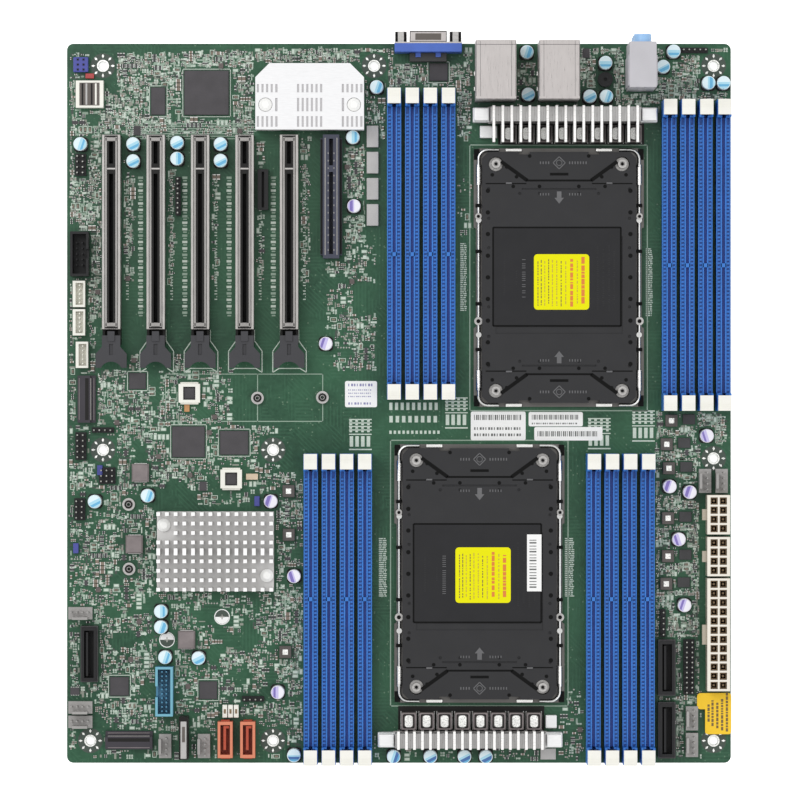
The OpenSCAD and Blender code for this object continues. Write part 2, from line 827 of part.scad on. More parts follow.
module drive_sockets() {
    color([0.35, 0.34, 0.36]) for (m = M2) {
        translate([m[0], m[1], top]) rotate(m[2]) difference() {
            union() {
                box(8.2, 21.6, 2);
                translate([-1.2, 0, 0]) box(5.8, 21.6, 4.2);
            }
            translate([2.8, 0, 2.2]) box(7, 19.6, 0.9);
        }
    }
}

module drive_standoffs() {
    color("silver") for (p = M2_STUDS) {
        translate([p[0], p[1], top]) difference() {
            union() {
                cylinder(h = 2.6, r = 2.9);
                cylinder(h = 3.2, r = 1.8);
            }
            translate([0, 0, -eps]) cylinder(h = 4, r = 0.8);
        }
    }
}

// Tall narrow sockets for cabled drives: [x, y]
SLIM = [[left + 10.6, rear - 279.9], [right - 29.7, front + 44.1], [right - 29.7, front + 15.4]];

module cable_sockets() {
    color([0.2, 0.2, 0.22]) for (p = SLIM) {
        translate([p[0], p[1], top]) difference() {
            box(6.8, 24.6, 8.6);
            translate([0, 0, 1.8]) difference() {
                box(4.4, 21.6, 8);
                translate([-0.9, 0, -1]) box(1, 20, 7);
            }
        }
    }
    color([0.25, 0.23, 0.25]) translate([LONG_SOCKET[0], LONG_SOCKET[1], top]) difference() {
        box(4.8, 18.6, 5.4);
        translate([0, 0, 1.4]) box(1.2, 16.4, 5);
    }
}

module cable_socket_shells() {
    color("silver") for (p = SLIM) {
        translate([p[0], p[1], top]) difference() {
            box(7.8, 25.6, 7.4);
            translate([0, 0, -eps]) box(6.9, 24.7, 8);
        }
    }
}

// Fan headers: [x, y, turn]
fan_w = 5.6;
fan_len = 11;
FANS = [[right - 12, rear - 200.7, 0], [right - 4.4, rear - 200.7, 0],
        [left + 6.3, front + 68.8, 90], [left + 6.3, front + 25.6, 90], [left + 6.3, front + 19, 90],
        [right - 18, front + 20.6, 0], [right - 18, front + 8.4, 0],
        [left + 45.2, front + 7.9, 0], [left + 63, front + 7.9, 0]];
WHITE_FANS = [[left + 5.8, rear - 115, 0], [left + 5.8, rear - 128, 0], [left + 7.2, rear - 142.9, 0]];

module fan_header() {
    box(fan_w, fan_len, 3.2);
    translate([-fan_w / 2 + 0.6, 0, 0]) box(1.2, fan_len - 4, 8.4);
    for (k = [-1.5:1.5]) {
        translate([0.7, k * 2.54, 0]) box(0.64, 0.64, 9.4);
    }
}

module fan_headers() {
    color("darkgray") for (f = FANS) {
        translate([f[0], f[1], top]) rotate(f[2]) fan_header();
    }
}

module signal_headers() {
    color("whitesmoke") for (f = WHITE_FANS) {
        translate([f[0], f[1], top]) rotate(f[2]) difference() {
            box(5.6, 12, 6);
            translate([0.3, 0, 1.4]) difference() {
                box(3.6, 10, 6);
                for (k = [-2:2]) {
                    translate([0, k * 2, 0]) box(0.6, 0.6, 4);
                }
            }
        }
    }
    color("ivory") translate([STACK_SOCKET[0], STACK_SOCKET[1], top]) difference() {
        box(12.6, 12.4, 6);
        for (x = [-3.4, 0, 3.4]) {
            translate([x, 0, 1.4]) box(1.7, 10.4, 6);
        }
    }
}

// Pin headers: [x, y, columns, rows]
pin_step = 2.54;
HEADERS = [[left + 6.4, rear - 55.7, 2, 4], [left + 51.1, rear - 70.1, 1, 7],
           [right - 19.4, front + 44.2, 2, 10], [right - 31.3, front + 64.3, 1, 5],
           [left + 16.6, rear - 177.4, 4, 1], [left + 6.5, rear - 184.7, 2, 5],
           [left + 6, rear - 213.7, 2, 4], [left + 85.5, front + 29.5, 4, 1],
           [right - 17, rear - 3.2, 5, 1], [left + 18.6, rear - 198.3, 3, 3]];

module pin_header(cols, rows) {
    box(cols * pin_step - 0.1, rows * pin_step - 0.1, 2.5);
    for (c = [0:cols - 1], r = [0:rows - 1]) {
        translate([(c - (cols - 1) / 2) * pin_step, (r - (rows - 1) / 2) * pin_step, 0]) box(0.64, 0.64, 8);
    }
}

module pin_headers() {
    color([0.12, 0.12, 0.12]) for (h = HEADERS) {
        translate([h[0], h[1], top]) pin_header(h[2], h[3]);
    }
}

// The shrouded box header and the ivory board-to-board socket at the left edge
BOX_HEADER = [left + 6.2, rear - 96.7];
STACK_SOCKET = [left + 10.7, rear - 23.5];
LONG_SOCKET = [left + 90.1, rear - 67.2];

module box_header() {
    color([0.11, 0.11, 0.12]) translate([BOX_HEADER[0], BOX_HEADER[1], top]) difference() {
        box(8.4, 20.4, 8.8);
        translate([0, 0, 1.8]) difference() {
            box(6.2, 18.2, 8);
            for (c = [-0.5, 0.5], r = [-2:2]) {
                translate([c * pin_step, r * pin_step, 0]) box(0.64, 0.64, 5.4);
            }
        }
        translate([3.4, 0, 3]) box(3, 4.4, 8);
    }
}

// Firmware sockets: a white frame round a small memory package
firm_w = 5.2;            // size of the package in a firmware socket
firm_d = 5.4;
FIRMWARE = [[left + 56.3, rear - 160.5], [left + 75.5, rear - 199.8]];

module firmware_sockets() {
    color("whitesmoke") for (p = FIRMWARE) {
        translate([p[0], p[1], top]) difference() {
            union() {
                box(9.8, 8.6, 4.2);
                box(8.2, 10.2, 3);
            }
            translate([0, 0, -eps]) box(firm_w + 0.4, firm_d + 0.6, 5);
        }
    }
}

// Flat packages: [x, y, width, depth, height]
CHIPS = [[left + 64.1, rear - 22.6, 20.4, 20.4, 2], [left + 41.9, rear - 26.4, 6.6, 12.6, 1.2],
         [left + 55.8, rear - 182.8, 15, 14.2, 1.6], [left + 76.8, rear - 183.2, 13.1, 11, 1.6],
         [left + 32.4, rear - 154.9, 7.8, 7.4, 1], [left + 24.1, rear - 295, 8.6, 8.6, 1.2],
         [left + 64.9, rear - 296.8, 8.2, 8.2, 1.2], [left + 170.6, rear - 13.1, 8.4, 8.1, 1.2],
         [CHIPSET[0], CHIPSET[1], 25, 25, chip_h], [LAN[0], LAN[1], 25, 20, chip_h],
         [FIRMWARE[0][0], FIRMWARE[0][1], firm_w, firm_d, 2.6],
         [FIRMWARE[1][0], FIRMWARE[1][1], firm_w, firm_d, 2.6]];

module chip_packages() {
    color([0.22, 0.21, 0.24]) for (c = CHIPS) {
        translate([c[0], c[1], top]) {
            box(c[2], c[3], c[4] - 0.3);
            box(c[2] - 0.6, c[3] - 0.6, c[4]);
        }
    }
    color([0.15, 0.15, 0.16]) for (v = [VRM_1, VRM_2], i = [0:choke_count - 1]) {
        translate([choke_x(v, i), v[1] + vrm_y(v), top]) box(4.6, 6, 2);
    }
}

// Point-of-load converters along the right and middle: chokes and their drivers, [x, y]
SMALL_CHOKES = [[right - 27.4, rear - 173.1], [right - 29.6, rear - 183.9], [right - 28.6, rear - 194.9],
                [right - 29, rear - 217.8], [right - 29, rear - 235.2], [right - 29.8, rear - 247.9],
                [left + 101.8, rear - 205.4], [left + 101.9, rear - 225.4], [left + 100.3, rear - 279.2]];
FLAT_CHOKES = [[left + 33.8, rear - 197], [left + 31, rear - 229.8], [left + 55, rear - 273.6]];

module point_chokes() {
    color([0.5, 0.47, 0.47]) {
        for (p = SMALL_CHOKES) {
            translate([p[0], p[1], top]) {
                box(5.4, 5.4, 2.8);
                cylinder(h = 3.6, r = 1.5);
            }
        }
        for (p = FLAT_CHOKES) {
            translate([p[0], p[1], top]) {
                box(7.8, 8.2, 3.2);
                box(6.8, 7.2, 4);
            }
        }
    }
}

// Round capacitors: [x, y]
cap_r = 3.2;
cap_h = 7.8;
COOL_CAPS = [[left + 6.5, rear - 46.4], [left + 30.7, rear - 46.4], [left + 30.7, rear - 54.2],
             [left + 50.8, rear - 45.8], [left + 50.8, rear - 53.1], [left + 70.7, rear - 46.4],
             [left + 70.7, rear - 54], [left + 142.2, rear - 20.3], [left + 131.3, rear - 43.3],
             [right - 93.8, rear - 4.3], [right - 93.2, rear - 23.7], [right - 57.8, rear - 9.2],
             [right - 65, rear - 24.6], [right - 57.4, rear - 24.6], [right - 26.6, rear - 4],
             [right - 31.4, rear - 11], [right - 10.6, rear - 18.4], [right - 3.7, rear - 18.4],
             [left + 37.3, rear - 207.4], [left + 13.1, rear - 210.1], [left + 43.4, rear - 260.4],
             [left + 43.4, rear - 267.6], [left + 45.3, rear - 281.4], [left + 60.6, rear - 281.8],
             [left + 104.3, front + 3.9], [right - 154.8, front + 3.35], [right - 138, front + 3.35],
             [right - 122.4, front + 3.35], [right - 112.6, front + 3.35]];
WARM_CAPS = [[left + 131.8, rear - 74.8], [left + 118.9, rear - 137.8], [left + 93.7, rear - 210],
             [left + 104.3, rear - 244.3], [left + 96.9, rear - 297.4], [right - 11.4, rear - 180],
             [right - 28.4, rear - 203.2], [right - 19.2, rear - 205.8], [right - 24.2, rear - 227.4],
             [right - 21.6, rear - 257.6]];

// A can on a square foot, with a rolled groove near its base
module capacitor() {
    box(2 * cap_r + 0.2, 2 * cap_r + 0.2, 0.9);
    rotate_extrude() polygon([
        [0, 0.8], [cap_r - 0.1, 0.8], [cap_r - 0.1, 1.6], [cap_r - 0.4, 1.9], [cap_r - 0.1, 2.2],
        [cap_r - 0.1, cap_h - 0.3], [cap_r - 0.4, cap_h], [0, cap_h]]);
}

module cool_capacitors() {
    color("deepskyblue") for (p = COOL_CAPS) {
        translate([p[0], p[1], top]) capacitor();
    }
}

module warm_capacitors() {
    color("mediumpurple") for (p = WARM_CAPS) {
        translate([p[0], p[1], top]) capacitor();
    }
}

// A small sounder behind the rear ports
BUZZER = [right - 57.8, rear - 16.7];

module sounder() {
    color([0.15, 0.14, 0.14]) translate([BUZZER[0], BUZZER[1], top]) difference() {
        cylinder(h = 5, r = 3.4);
        translate([0, 0, 3.6]) cylinder(h = 2, r = 0.8);
    }
}

// Board locks: the plastic pegs of slots and connectors that come through the board
module board_locks() {
    color([0.2, 0.2, 0.2]) translate([0, 0, -underside_h]) {
        for (i = [0:pcie_count - 1], y = [6, pcie_len - 4]) {
            translate([slot_x(i), pcie_rear - y, 0]) cylinder(h = underside_h, r = 1.2);
        }
        for (b = [BANK_A, BANK_B, BANK_C, BANK_D], i = [0, dimm_count - 1], s = [-1, 1]) {
            translate([dimm_x(b, i), b[1] + s * (dimm_len / 2 - 10), 0]) {
                cylinder(h = underside_h, r = 1.2);
            }
        }
        for (p = POWER) {
            translate([power_x, p[1], 0]) cylinder(h = underside_h, r = 1.2);
        }
        for (y = M2_STUDS) {
            translate([y[0], y[1], 0]) cylinder(h = underside_h, r = 1.6);
        }
    }
}

circuit_board();
dimm_bank(BANK_A);  // dimm_sockets_a
dimm_bank(BANK_B);  // dimm_sockets_b
dimm_bank(BANK_C);  // dimm_sockets_c
dimm_bank(BANK_D);  // dimm_sockets_d
bank_latches(BANK_A, 1);  // dimm_latches_a_rear
bank_latches(BANK_A, -1);  // dimm_latches_a_front
bank_latches(BANK_B, 1);  // dimm_latches_b_rear
bank_latches(BANK_B, -1);  // dimm_latches_b_front
bank_latches(BANK_C, 1);  // dimm_latches_c_rear
bank_latches(BANK_C, -1);  // dimm_latches_c_front
bank_latches(BANK_D, 1);  // dimm_latches_d_rear
bank_latches(BANK_D, -1);  // dimm_latches_d_front
pcie_slot_bodies();
pcie_slot_shells();
pcie_latch(0);  // pcie_latch_1
pcie_latch(1);  // pcie_latch_2
pcie_latch(2);  // pcie_latch_3
pcie_latch(3);  // pcie_latch_4
pcie_latch(4);  // pcie_latch_5
pcie_short_slot();
union() { socket_base(CPU_1); socket_base(CPU_2); }  // socket_bases
union() { socket_frame(CPU_1); socket_frame(CPU_2); }  // socket_frames
socket_cover(CPU_1);  // socket_cover_1
socket_cover(CPU_2);  // socket_cover_2
union() { frame_wires(CPU_1); frame_wires(CPU_2); }
union() { frame_studs(CPU_1); frame_studs(CPU_2); }
union() { back_plate(CPU_1); back_plate(CPU_2); }  // back_plates
union() { vrm_heat_sink(VRM_1); vrm_heat_sink(VRM_2); }  // vrm_heat_sinks
vrm_screws();
power_chokes();
chipset_heat_sink();
network_heat_sink();
heat_sink_push_pins();
chip_packages();
port_stack_shells();
port_stack_inserts();
audio_stack();
audio_noses();
vga_housing();
vga_shell();
vga_jackscrews();
power_housings();
power_pins();
sata_ports();
front_bus_header();
drive_sockets();
drive_standoffs();
cable_sockets();
cable_socket_shells();
fan_headers();
signal_headers();
pin_headers();
box_header();
firmware_sockets();
point_chokes();
cool_capacitors();
warm_capacitors();
sounder();
board_locks();
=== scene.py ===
import json
import math
import random

import bmesh
import bpy
from mathutils import Matrix, Vector, noise


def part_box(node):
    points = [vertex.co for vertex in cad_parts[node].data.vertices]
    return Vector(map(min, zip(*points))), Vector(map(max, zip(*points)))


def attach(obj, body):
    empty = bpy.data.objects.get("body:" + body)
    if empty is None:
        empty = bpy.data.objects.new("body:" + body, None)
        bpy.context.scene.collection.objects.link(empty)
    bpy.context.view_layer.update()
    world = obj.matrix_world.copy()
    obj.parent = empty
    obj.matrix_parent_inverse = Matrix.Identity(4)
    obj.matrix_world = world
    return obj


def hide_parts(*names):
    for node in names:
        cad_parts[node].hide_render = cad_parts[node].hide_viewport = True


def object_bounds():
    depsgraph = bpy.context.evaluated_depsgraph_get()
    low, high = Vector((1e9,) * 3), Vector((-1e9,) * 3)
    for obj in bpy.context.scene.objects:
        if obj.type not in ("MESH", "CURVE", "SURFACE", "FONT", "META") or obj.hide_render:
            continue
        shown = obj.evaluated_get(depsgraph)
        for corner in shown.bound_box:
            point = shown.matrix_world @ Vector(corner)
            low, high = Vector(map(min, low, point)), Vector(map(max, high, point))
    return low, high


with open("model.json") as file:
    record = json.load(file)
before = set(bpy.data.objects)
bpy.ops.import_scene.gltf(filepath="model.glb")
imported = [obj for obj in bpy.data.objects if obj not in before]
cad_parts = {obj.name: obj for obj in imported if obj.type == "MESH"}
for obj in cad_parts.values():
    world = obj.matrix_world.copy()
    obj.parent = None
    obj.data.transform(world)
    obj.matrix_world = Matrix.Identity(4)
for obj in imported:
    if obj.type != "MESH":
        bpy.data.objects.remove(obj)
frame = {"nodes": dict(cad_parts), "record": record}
cad_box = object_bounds()

# ---------------------------------------------------------------- frame and places
MM = 0.001
board_lo, board_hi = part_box("circuit_board")
TOP = board_hi.z / MM
LEFT, RIGHT = board_lo.x / MM, board_hi.x / MM
FRONT, REAR = board_lo.y / MM, board_hi.y / MM
dice = random.Random(20260)


def solids(node):
    """The lowest and highest corner of each separate solid of a CAD node, in millimetres."""
    bm = bmesh.new()
    bm.from_mesh(frame["nodes"][node].data)
    bmesh.ops.remove_doubles(bm, verts=bm.verts, dist=1e-6)
    bm.verts.ensure_lookup_table()
    seen, found = set(), []
    for start in bm.verts:
        if start.index in seen:
            continue
        seen.add(start.index)
        group, trail = [start.co / MM], [start]
        while trail:
            for edge in trail.pop().link_edges:
                for v in edge.verts:
                    if v.index not in seen:
                        seen.add(v.index)
                        group.append(v.co / MM)
                        trail.append(v)
        found.append((Vector(map(min, *group)), Vector(map(max, *group))))
    bm.free()
    return sorted(found, key=lambda b: (round(b[0].y, 1), round(b[0].x, 1)))


def middle(corners):
    return (corners[0] + corners[1]) / 2


def at(x, y):
    """A place given from the board's left and rear edges."""
    return LEFT + x, REAR - y


# ---------------------------------------------------------------- finishes
class Value:
    """A node's output; arithmetic on it adds Math nodes."""

    def __init__(self, finish, socket):
        self.finish, self.socket = finish, socket

    def maths(self, operation, *others):
        return self.finish.node("ShaderNodeMath", {"operation": operation}, self, *others)

    def __add__(self, other): return self.maths("ADD", other)
    def __radd__(self, other): return self.maths("ADD", other)
    def __sub__(self, other): return self.maths("SUBTRACT", other)
    def __rsub__(self, other): return (self * -1).maths("ADD", other)
    def __mul__(self, other): return self.maths("MULTIPLY", other)
    def __rmul__(self, other): return self.maths("MULTIPLY", other)
    def __truediv__(self, other): return self.maths("DIVIDE", other)
    def __gt__(self, other): return self.maths("GREATER_THAN", other)
    def __lt__(self, other): return self.maths("LESS_THAN", other)
    def __pow__(self, other): return self.maths("POWER", other)
    def fract(self): return self.maths("FRACT")
    def floor(self): return self.maths("FLOOR")
    def sine(self): return self.maths("SINE")
    def size(self): return self.maths("ABSOLUTE")
    def least(self, other): return self.maths("MINIMUM", other)
    def most(self, other): return self.maths("MAXIMUM", other)


class Finish:
    """A procedural material on Object coordinates."""

    made = {}

    def __init__(self, name, colour, roughness=0.5, metallic=0.0, **fixed):
        self.material = bpy.data.materials.new(name)
        self.material.use_nodes = True
        self.tree = self.material.node_tree
        self.shader = self.tree.nodes["Principled BSDF"]
        self.set("Base Color", colour)
        self.set("Roughness", roughness)
        self.set("Metallic", metallic)
        for socket, value in fixed.items():
            self.set(socket.replace("_", " "), value)
        Finish.made[name] = self.material

    def node(self, kind, settings, *values, out=0, **named):
        made = self.tree.nodes.new(kind)
        for key, value in settings.items():
            if key == "stops":
                ramp = made.color_ramp.elements
                while len(ramp) < len(value):
                    ramp.new(0.5)
                for element, (place, colour) in zip(ramp, value):
                    element.position = place
                    element.color = (*colour, 1)
            else:
                setattr(made, key, value)
        pairs = list(enumerate(values)) + [(k.replace("_", " "), v) for k, v in named.items()]
        for key, value in pairs:
            self.join(made.inputs[key], value)
        return Value(self, made.outputs[out])

    def join(self, socket, value):
        if isinstance(value, Value):
            self.tree.links.new(value.socket, socket)
        elif isinstance(value, tuple) and socket.type == "RGBA":
            socket.default_value = (*value[:3], 1)
        else:
            socket.default_value = value

    def set(self, socket, value):
        self.join(self.shader.inputs[socket], value)

    def place(self, stretch=(1, 1, 1), turn=0.0):
        """Object coordinates in millimetres, stretched and turned about Z."""
        spot = self.node("ShaderNodeTexCoord", {}, out="Object")
        return self.node("ShaderNodeMapping", {}, spot, Rotation=(0, 0, turn),
                         Scale=tuple(s / MM for s in stretch))

    def axis(self, name, spot=None):
        return self.node("ShaderNodeSeparateXYZ", {}, spot or self.place(), out=name)

    def noise(self, size, detail=3.0, stretch=(1, 1, 1), rough=0.5):
        return self.node("ShaderNodeTexNoise", {}, Vector=self.place(stretch), Scale=1.0 / size,
                         Detail=detail, Roughness=rough, out="Fac")

    def cells(self, size, output="Color", stretch=(1, 1, 1)):
        return self.node("ShaderNodeTexVoronoi", {}, Vector=self.place(stretch),
                         Scale=1.0 / size, out=output)

    def mix(self, factor, a, b, blend="MIX"):
        made = self.tree.nodes.new("ShaderNodeMix")
        made.data_type, made.blend_type = "RGBA", blend
        for index, value in ((0, factor), (6, a), (7, b)):
            self.join(made.inputs[index], value)
        return Value(self, made.outputs[2])

    def ramp(self, factor, *stops):
        return self.node("ShaderNodeValToRGB", {"stops": stops}, factor, out="Color")

    def span(self, value, a, b, c, d):
        """Carries the range a to b over to c to d."""
        return self.node("ShaderNodeMapRange", {}, value, a, b, c, d)

    def bump(self, height, depth, strength=1.0):
        """Relief of a depth in millimetres."""
        self.set("Normal", self.node("ShaderNodeBump", {}, Strength=strength,
                                     Distance=depth * MM, Height=height))


def shade(colour, k):
    return tuple(min(1.0, c * k) for c in colour)


def moulded(name, colour, roughness=0.5, grain=0.35, spread=0.12, **fixed):
    """Moulded plastic: fine spark-eroded grain, slight flow marks and a soft sheen."""
    f = Finish(name, colour, roughness, **fixed)
    flow = f.noise(9.0, 2.0)
    fine = f.noise(grain, 2.0)
    tone = f.span(flow * 0.6 + fine * 0.4, 0.3, 0.7, 0.0, 1.0)
    f.set("Base Color", f.mix(tone, shade(colour, 1 - spread), shade(colour, 1 + spread)))
    f.set("Roughness", f.span(fine, 0.3, 0.7, roughness - 0.07, roughness + 0.1))
    f.bump(fine, 0.02, 0.5)
    return f


def brushed(name, colour, roughness=0.35, along="y", spread=0.1, metallic=0.9, **fixed):
    """Rolled or brushed metal: long fine scratches along one axis over slow patches."""
    f = Finish(name, colour, roughness, metallic, **fixed)
    stretch = {"x": (0.05, 1, 1), "y": (1, 0.05, 1), "z": (1, 1, 0.05)}[along]
    lines = f.noise(0.25, 3.0, stretch)
    patches = f.noise(6.0, 2.0)
    tone = f.span(lines * 0.65 + patches * 0.35, 0.3, 0.7, 0.0, 1.0)
    f.set("Base Color", f.mix(tone, shade(colour, 1 - spread), shade(colour, 1 + spread)))
    f.set("Roughness", f.span(lines, 0.3, 0.7, roughness - 0.08, roughness + 0.12))
    f.bump(lines, 0.01, 0.4)
    return f


def solder_mask():
    """Green solder mask over copper: runs of parallel traces, vias and slow tone changes."""
    f = Finish("solder_mask", (0.02, 0.1, 0.045), 0.34, Specular_IOR_Level=0.3)
    deep, green, bright = (0.009, 0.052, 0.025), (0.022, 0.094, 0.045), (0.05, 0.155, 0.085)
    slow = f.span(f.noise(38.0, 2.0), 0.35, 0.65, 0.0, 1.0)
    fine = f.noise(2.2, 3.0)
    tone = f.mix(slow, deep, green)
    region = f.cells(17.0)
    pick = f.node("ShaderNodeSeparateColor", {}, region, out="Red")
    x, y = f.axis("X"), f.axis("Y")
    runs = [(x * 0.62).fract(), (y * 0.62).fract(), ((x + y) * 0.45).fract()]
    traced = None
    for index, run in enumerate(runs):
        line = ((run - 0.5).size() < 0.2) * (pick > index / 3.0) * (pick < (index + 1) / 3.0)
        traced = line if traced is None else traced + line
    broken = f.noise(7.0, 1.0, (1, 1, 1)) > 0.47
    traced = traced * broken
    tone = f.mix(traced * 0.24, tone, bright)
    dots = (f.cells(2.4, "Distance") < 0.16) * (f.noise(11.0, 1.0) > 0.5)
    tone = f.mix(dots * 0.45, tone, (0.22, 0.32, 0.22))
    tone = f.mix(f.span(fine, 0.3, 0.7, 0.0, 0.25), tone, bright)
    side = f.axis("Z") < TOP - 0.06
    under = f.axis("Z") > 0.06
    tone = f.mix(side * under, tone, (0.16, 0.17, 0.08))
    f.set("Base Color", tone)
    f.set("Roughness", f.span(fine, 0.3, 0.7, 0.28, 0.42))
    f.bump(traced * 0.6 + fine * 0.15, 0.04, 0.6)
    return f


def solder_tin(name, colour=(0.72, 0.72, 0.7)):
    f = Finish(name, colour, 0.32, 0.75)
    blobs = f.noise(0.6, 2.0)
    f.set("Base Color", f.mix(f.span(blobs, 0.3, 0.7, 0.0, 1.0), shade(colour, 0.62), colour))
    f.set("Roughness", f.span(blobs, 0.3, 0.7, 0.22, 0.5))
    f.bump(blobs, 0.05, 0.5)
    return f


def epoxy(name, colour, speck=0.12):
    """Black moulding compound with fine pale filler specks."""
    f = Finish(name, colour, 0.55)
    speckle = f.noise(0.16, 2.0, rough=0.7)
    slow = f.noise(5.0, 2.0)
    tone = f.mix(f.span(slow, 0.3, 0.7, 0.0, 1.0), shade(colour, 0.85), shade(colour, 1.15))
    tone = f.mix(f.span(speckle, 0.58, 0.75, 0.0, speck), tone, (0.4, 0.38, 0.38))
    f.set("Base Color", tone)
    f.set("Roughness", f.span(speckle, 0.3, 0.7, 0.48, 0.66))
    f.bump(speckle, 0.015, 0.6)
    return f


def crest_light_valley_shade(name, low, high, z, roughness=0.3, metallic=0.6, **more):
    """A cast or extruded heat sink: painted shade in its valleys, painted highlight on its crests."""
    f = Finish(name, high, roughness, metallic)
    # Colour by height: painted shade low down, painted highlight near the top.
    crest = f.span(f.axis("Z"), z - 0.7, z, 0.0, 1.0)
    lines = f.noise(0.3, 2.0, more.get("stretch", (0.1, 1, 1)))
    tone = f.mix(crest, low, high)
    tone = f.mix(f.span(lines, 0.3, 0.7, 0.0, 0.22), tone, shade(high, 0.72))
    f.set("Base Color", tone)
    f.set("Roughness", f.span(lines, 0.3, 0.7, roughness - 0.06, roughness + 0.12))
    f.bump(lines, 0.012, 0.5)
    return f


def paper(name, colour):
    f = Finish(name, colour, 0.6, Specular_IOR_Level=0.15)
    fibre = f.noise(0.4, 3.0, rough=0.6)
    f.set("Base Color", f.mix(f.span(fibre, 0.3, 0.7, 0.0, 1.0), shade(colour, 0.94), colour))
    f.set("Roughness", f.span(fibre, 0.3, 0.7, 0.5, 0.68))
    return f


def ink(name, colour, worn=0.25):
    """Screen ink on the solder mask, slightly uneven."""
    f = Finish(name, colour, 0.55)
    patchy = f.noise(0.5, 2.0)
    f.set("Base Color", f.mix(f.span(patchy, 0.35, 0.65, worn, 0.0), colour, (0.2, 0.3, 0.22)))
    f.bump(patchy, 0.01, 0.4)
    return f


solder_mask()
solder_tin("solder_tin")
solder_tin("bright_tin", (0.93, 0.93, 0.9))
solder_tin("dull_tin", (0.42, 0.42, 0.39))
epoxy("chip_black", (0.042, 0.038, 0.043))
epoxy("chip_brown", (0.085, 0.07, 0.065), 0.2)
epoxy("resistor_black", (0.03, 0.03, 0.032))
epoxy("ceramic_tan", (0.2, 0.155, 0.12))
epoxy("core_grey", (0.2, 0.17, 0.17), 0.3)
epoxy("ferrite", (0.1, 0.08, 0.075), 0.3)
epoxy("choke_frame", (0.07, 0.06, 0.055), 0.3)
epoxy("tantalum", (0.62, 0.5, 0.36), 0.2)
moulded("memory_blue", (0.022, 0.165, 0.56), 0.38, spread=0.1)
# The next two are darker copies of the blue plastic: painted shade on the ledge between the ribs and in the
# middle channel.
moulded("memory_ledge_shade", (0.026, 0.125, 0.43), 0.45, spread=0.1)
moulded("memory_channel_shade", (0.01, 0.05, 0.27), 0.5)
moulded("latch_ivory", (0.86, 0.85, 0.79), 0.4, spread=0.04)
moulded("slot_black", (0.009, 0.0085, 0.008), 0.45, Specular_IOR_Level=0.2)
moulded("latch_charcoal", (0.021, 0.021, 0.026), 0.45)
moulded("short_slot_blue", (0.026, 0.03, 0.055), 0.45)
moulded("lid_black", (0.026, 0.026, 0.028), 0.5, grain=0.5, spread=0.08, Specular_IOR_Level=0.22)
# Near-black for black parts, and for grooves and holes drawn as flat plates: painted shade.
moulded("black_and_groove_shade", (0.004, 0.004, 0.004), 0.6, Specular_IOR_Level=0.1)
moulded("lid_pocket", (0.02, 0.02, 0.022), 0.55, grain=0.5, spread=0.1, Specular_IOR_Level=0.18)
moulded("lid_mark", (0.125, 0.125, 0.13), 0.5, Specular_IOR_Level=0.3)
moulded("socket_black", (0.02, 0.02, 0.021), 0.5)
moulded("port_black", (0.02, 0.02, 0.02), 0.45)
moulded("audio_grey", (0.5, 0.49, 0.52), 0.42, spread=0.06)
moulded("nose_blue", (0.3, 0.52, 0.82), 0.35, spread=0.06)
moulded("video_blue", (0.05, 0.12, 0.47), 0.4)
moulded("drive_grey", (0.04, 0.036, 0.045), 0.45, Specular_IOR_Level=0.3)
moulded("header_grey", (0.33, 0.32, 0.31), 0.45)
moulded("header_brown", (0.1, 0.085, 0.075), 0.5)
moulded("part_red", (0.42, 0.05, 0.05), 0.45)
moulded("part_ochre", (0.5, 0.25, 0.1), 0.45)
moulded("block_grey", (0.46, 0.45, 0.44), 0.5)
moulded("header_white", (0.84, 0.83, 0.76), 0.42, spread=0.05)
moulded("header_black", (0.012, 0.012, 0.013), 0.45, Specular_IOR_Level=0.25)
moulded("jumper_blue", (0.05, 0.06, 0.3), 0.45)
moulded("pin_white", (0.9, 0.9, 0.88), 0.4, spread=0.03)
brushed("slot_steel", (0.27, 0.26, 0.25), 0.38, "y")
# A lighter copy of the slot steel: painted highlight on the folds.
brushed("slot_fold_highlight", (0.38, 0.365, 0.35), 0.35, "y")
brushed("frame_steel", (0.12, 0.115, 0.11), 0.4, "y")
brushed("wire_chrome", (0.62, 0.62, 0.61), 0.2, "y", 0.08, 1.0)
brushed("nut_steel", (0.42, 0.41, 0.4), 0.3, "x", 0.12, 0.9)
brushed("port_nickel", (0.47, 0.44, 0.43), 0.34, "y", 0.05, 0.6)
brushed("bright_nickel", (0.8, 0.79, 0.77), 0.24, "x", 0.08, 0.85)
brushed("cast_alloy", (0.8, 0.8, 0.8), 0.4, "x", 0.06, 0.3)
brushed("shroud_grey", (0.06, 0.056, 0.06), 0.4, "y", 0.1, 0.6)
brushed("sink_shelf", (0.4, 0.395, 0.39), 0.35, "y", 0.2, 0.4)
brushed("can_silver", (0.8, 0.83, 0.87), 0.3, "x", 0.05, 0.55)
brushed("contact_gold", (0.2, 0.135, 0.075), 0.42, "y", 0.15, 0.5)
ink("ink_white", (0.62, 0.7, 0.62))
ink("ink_pale", (0.3, 0.4, 0.32))
ink("ink_shadow", (0.03, 0.045, 0.035), 0.1)
ink("ink_grey", (0.25, 0.26, 0.22), 0.25)
ink("can_cyan", (0.13, 0.44, 0.7), 0.05)
ink("can_mid", (0.4, 0.7, 0.84), 0.03)
ink("can_pale", (0.74, 0.88, 0.93), 0.03)
ink("can_deep", (0.05, 0.15, 0.4), 0.05)
ink("can_violet", (0.2, 0.15, 0.46), 0.05)
ink("can_mauve", (0.55, 0.5, 0.8), 0.03)
ink("can_lilac", (0.84, 0.83, 0.9), 0.03)
paper("label_white", (0.93, 0.93, 0.92))
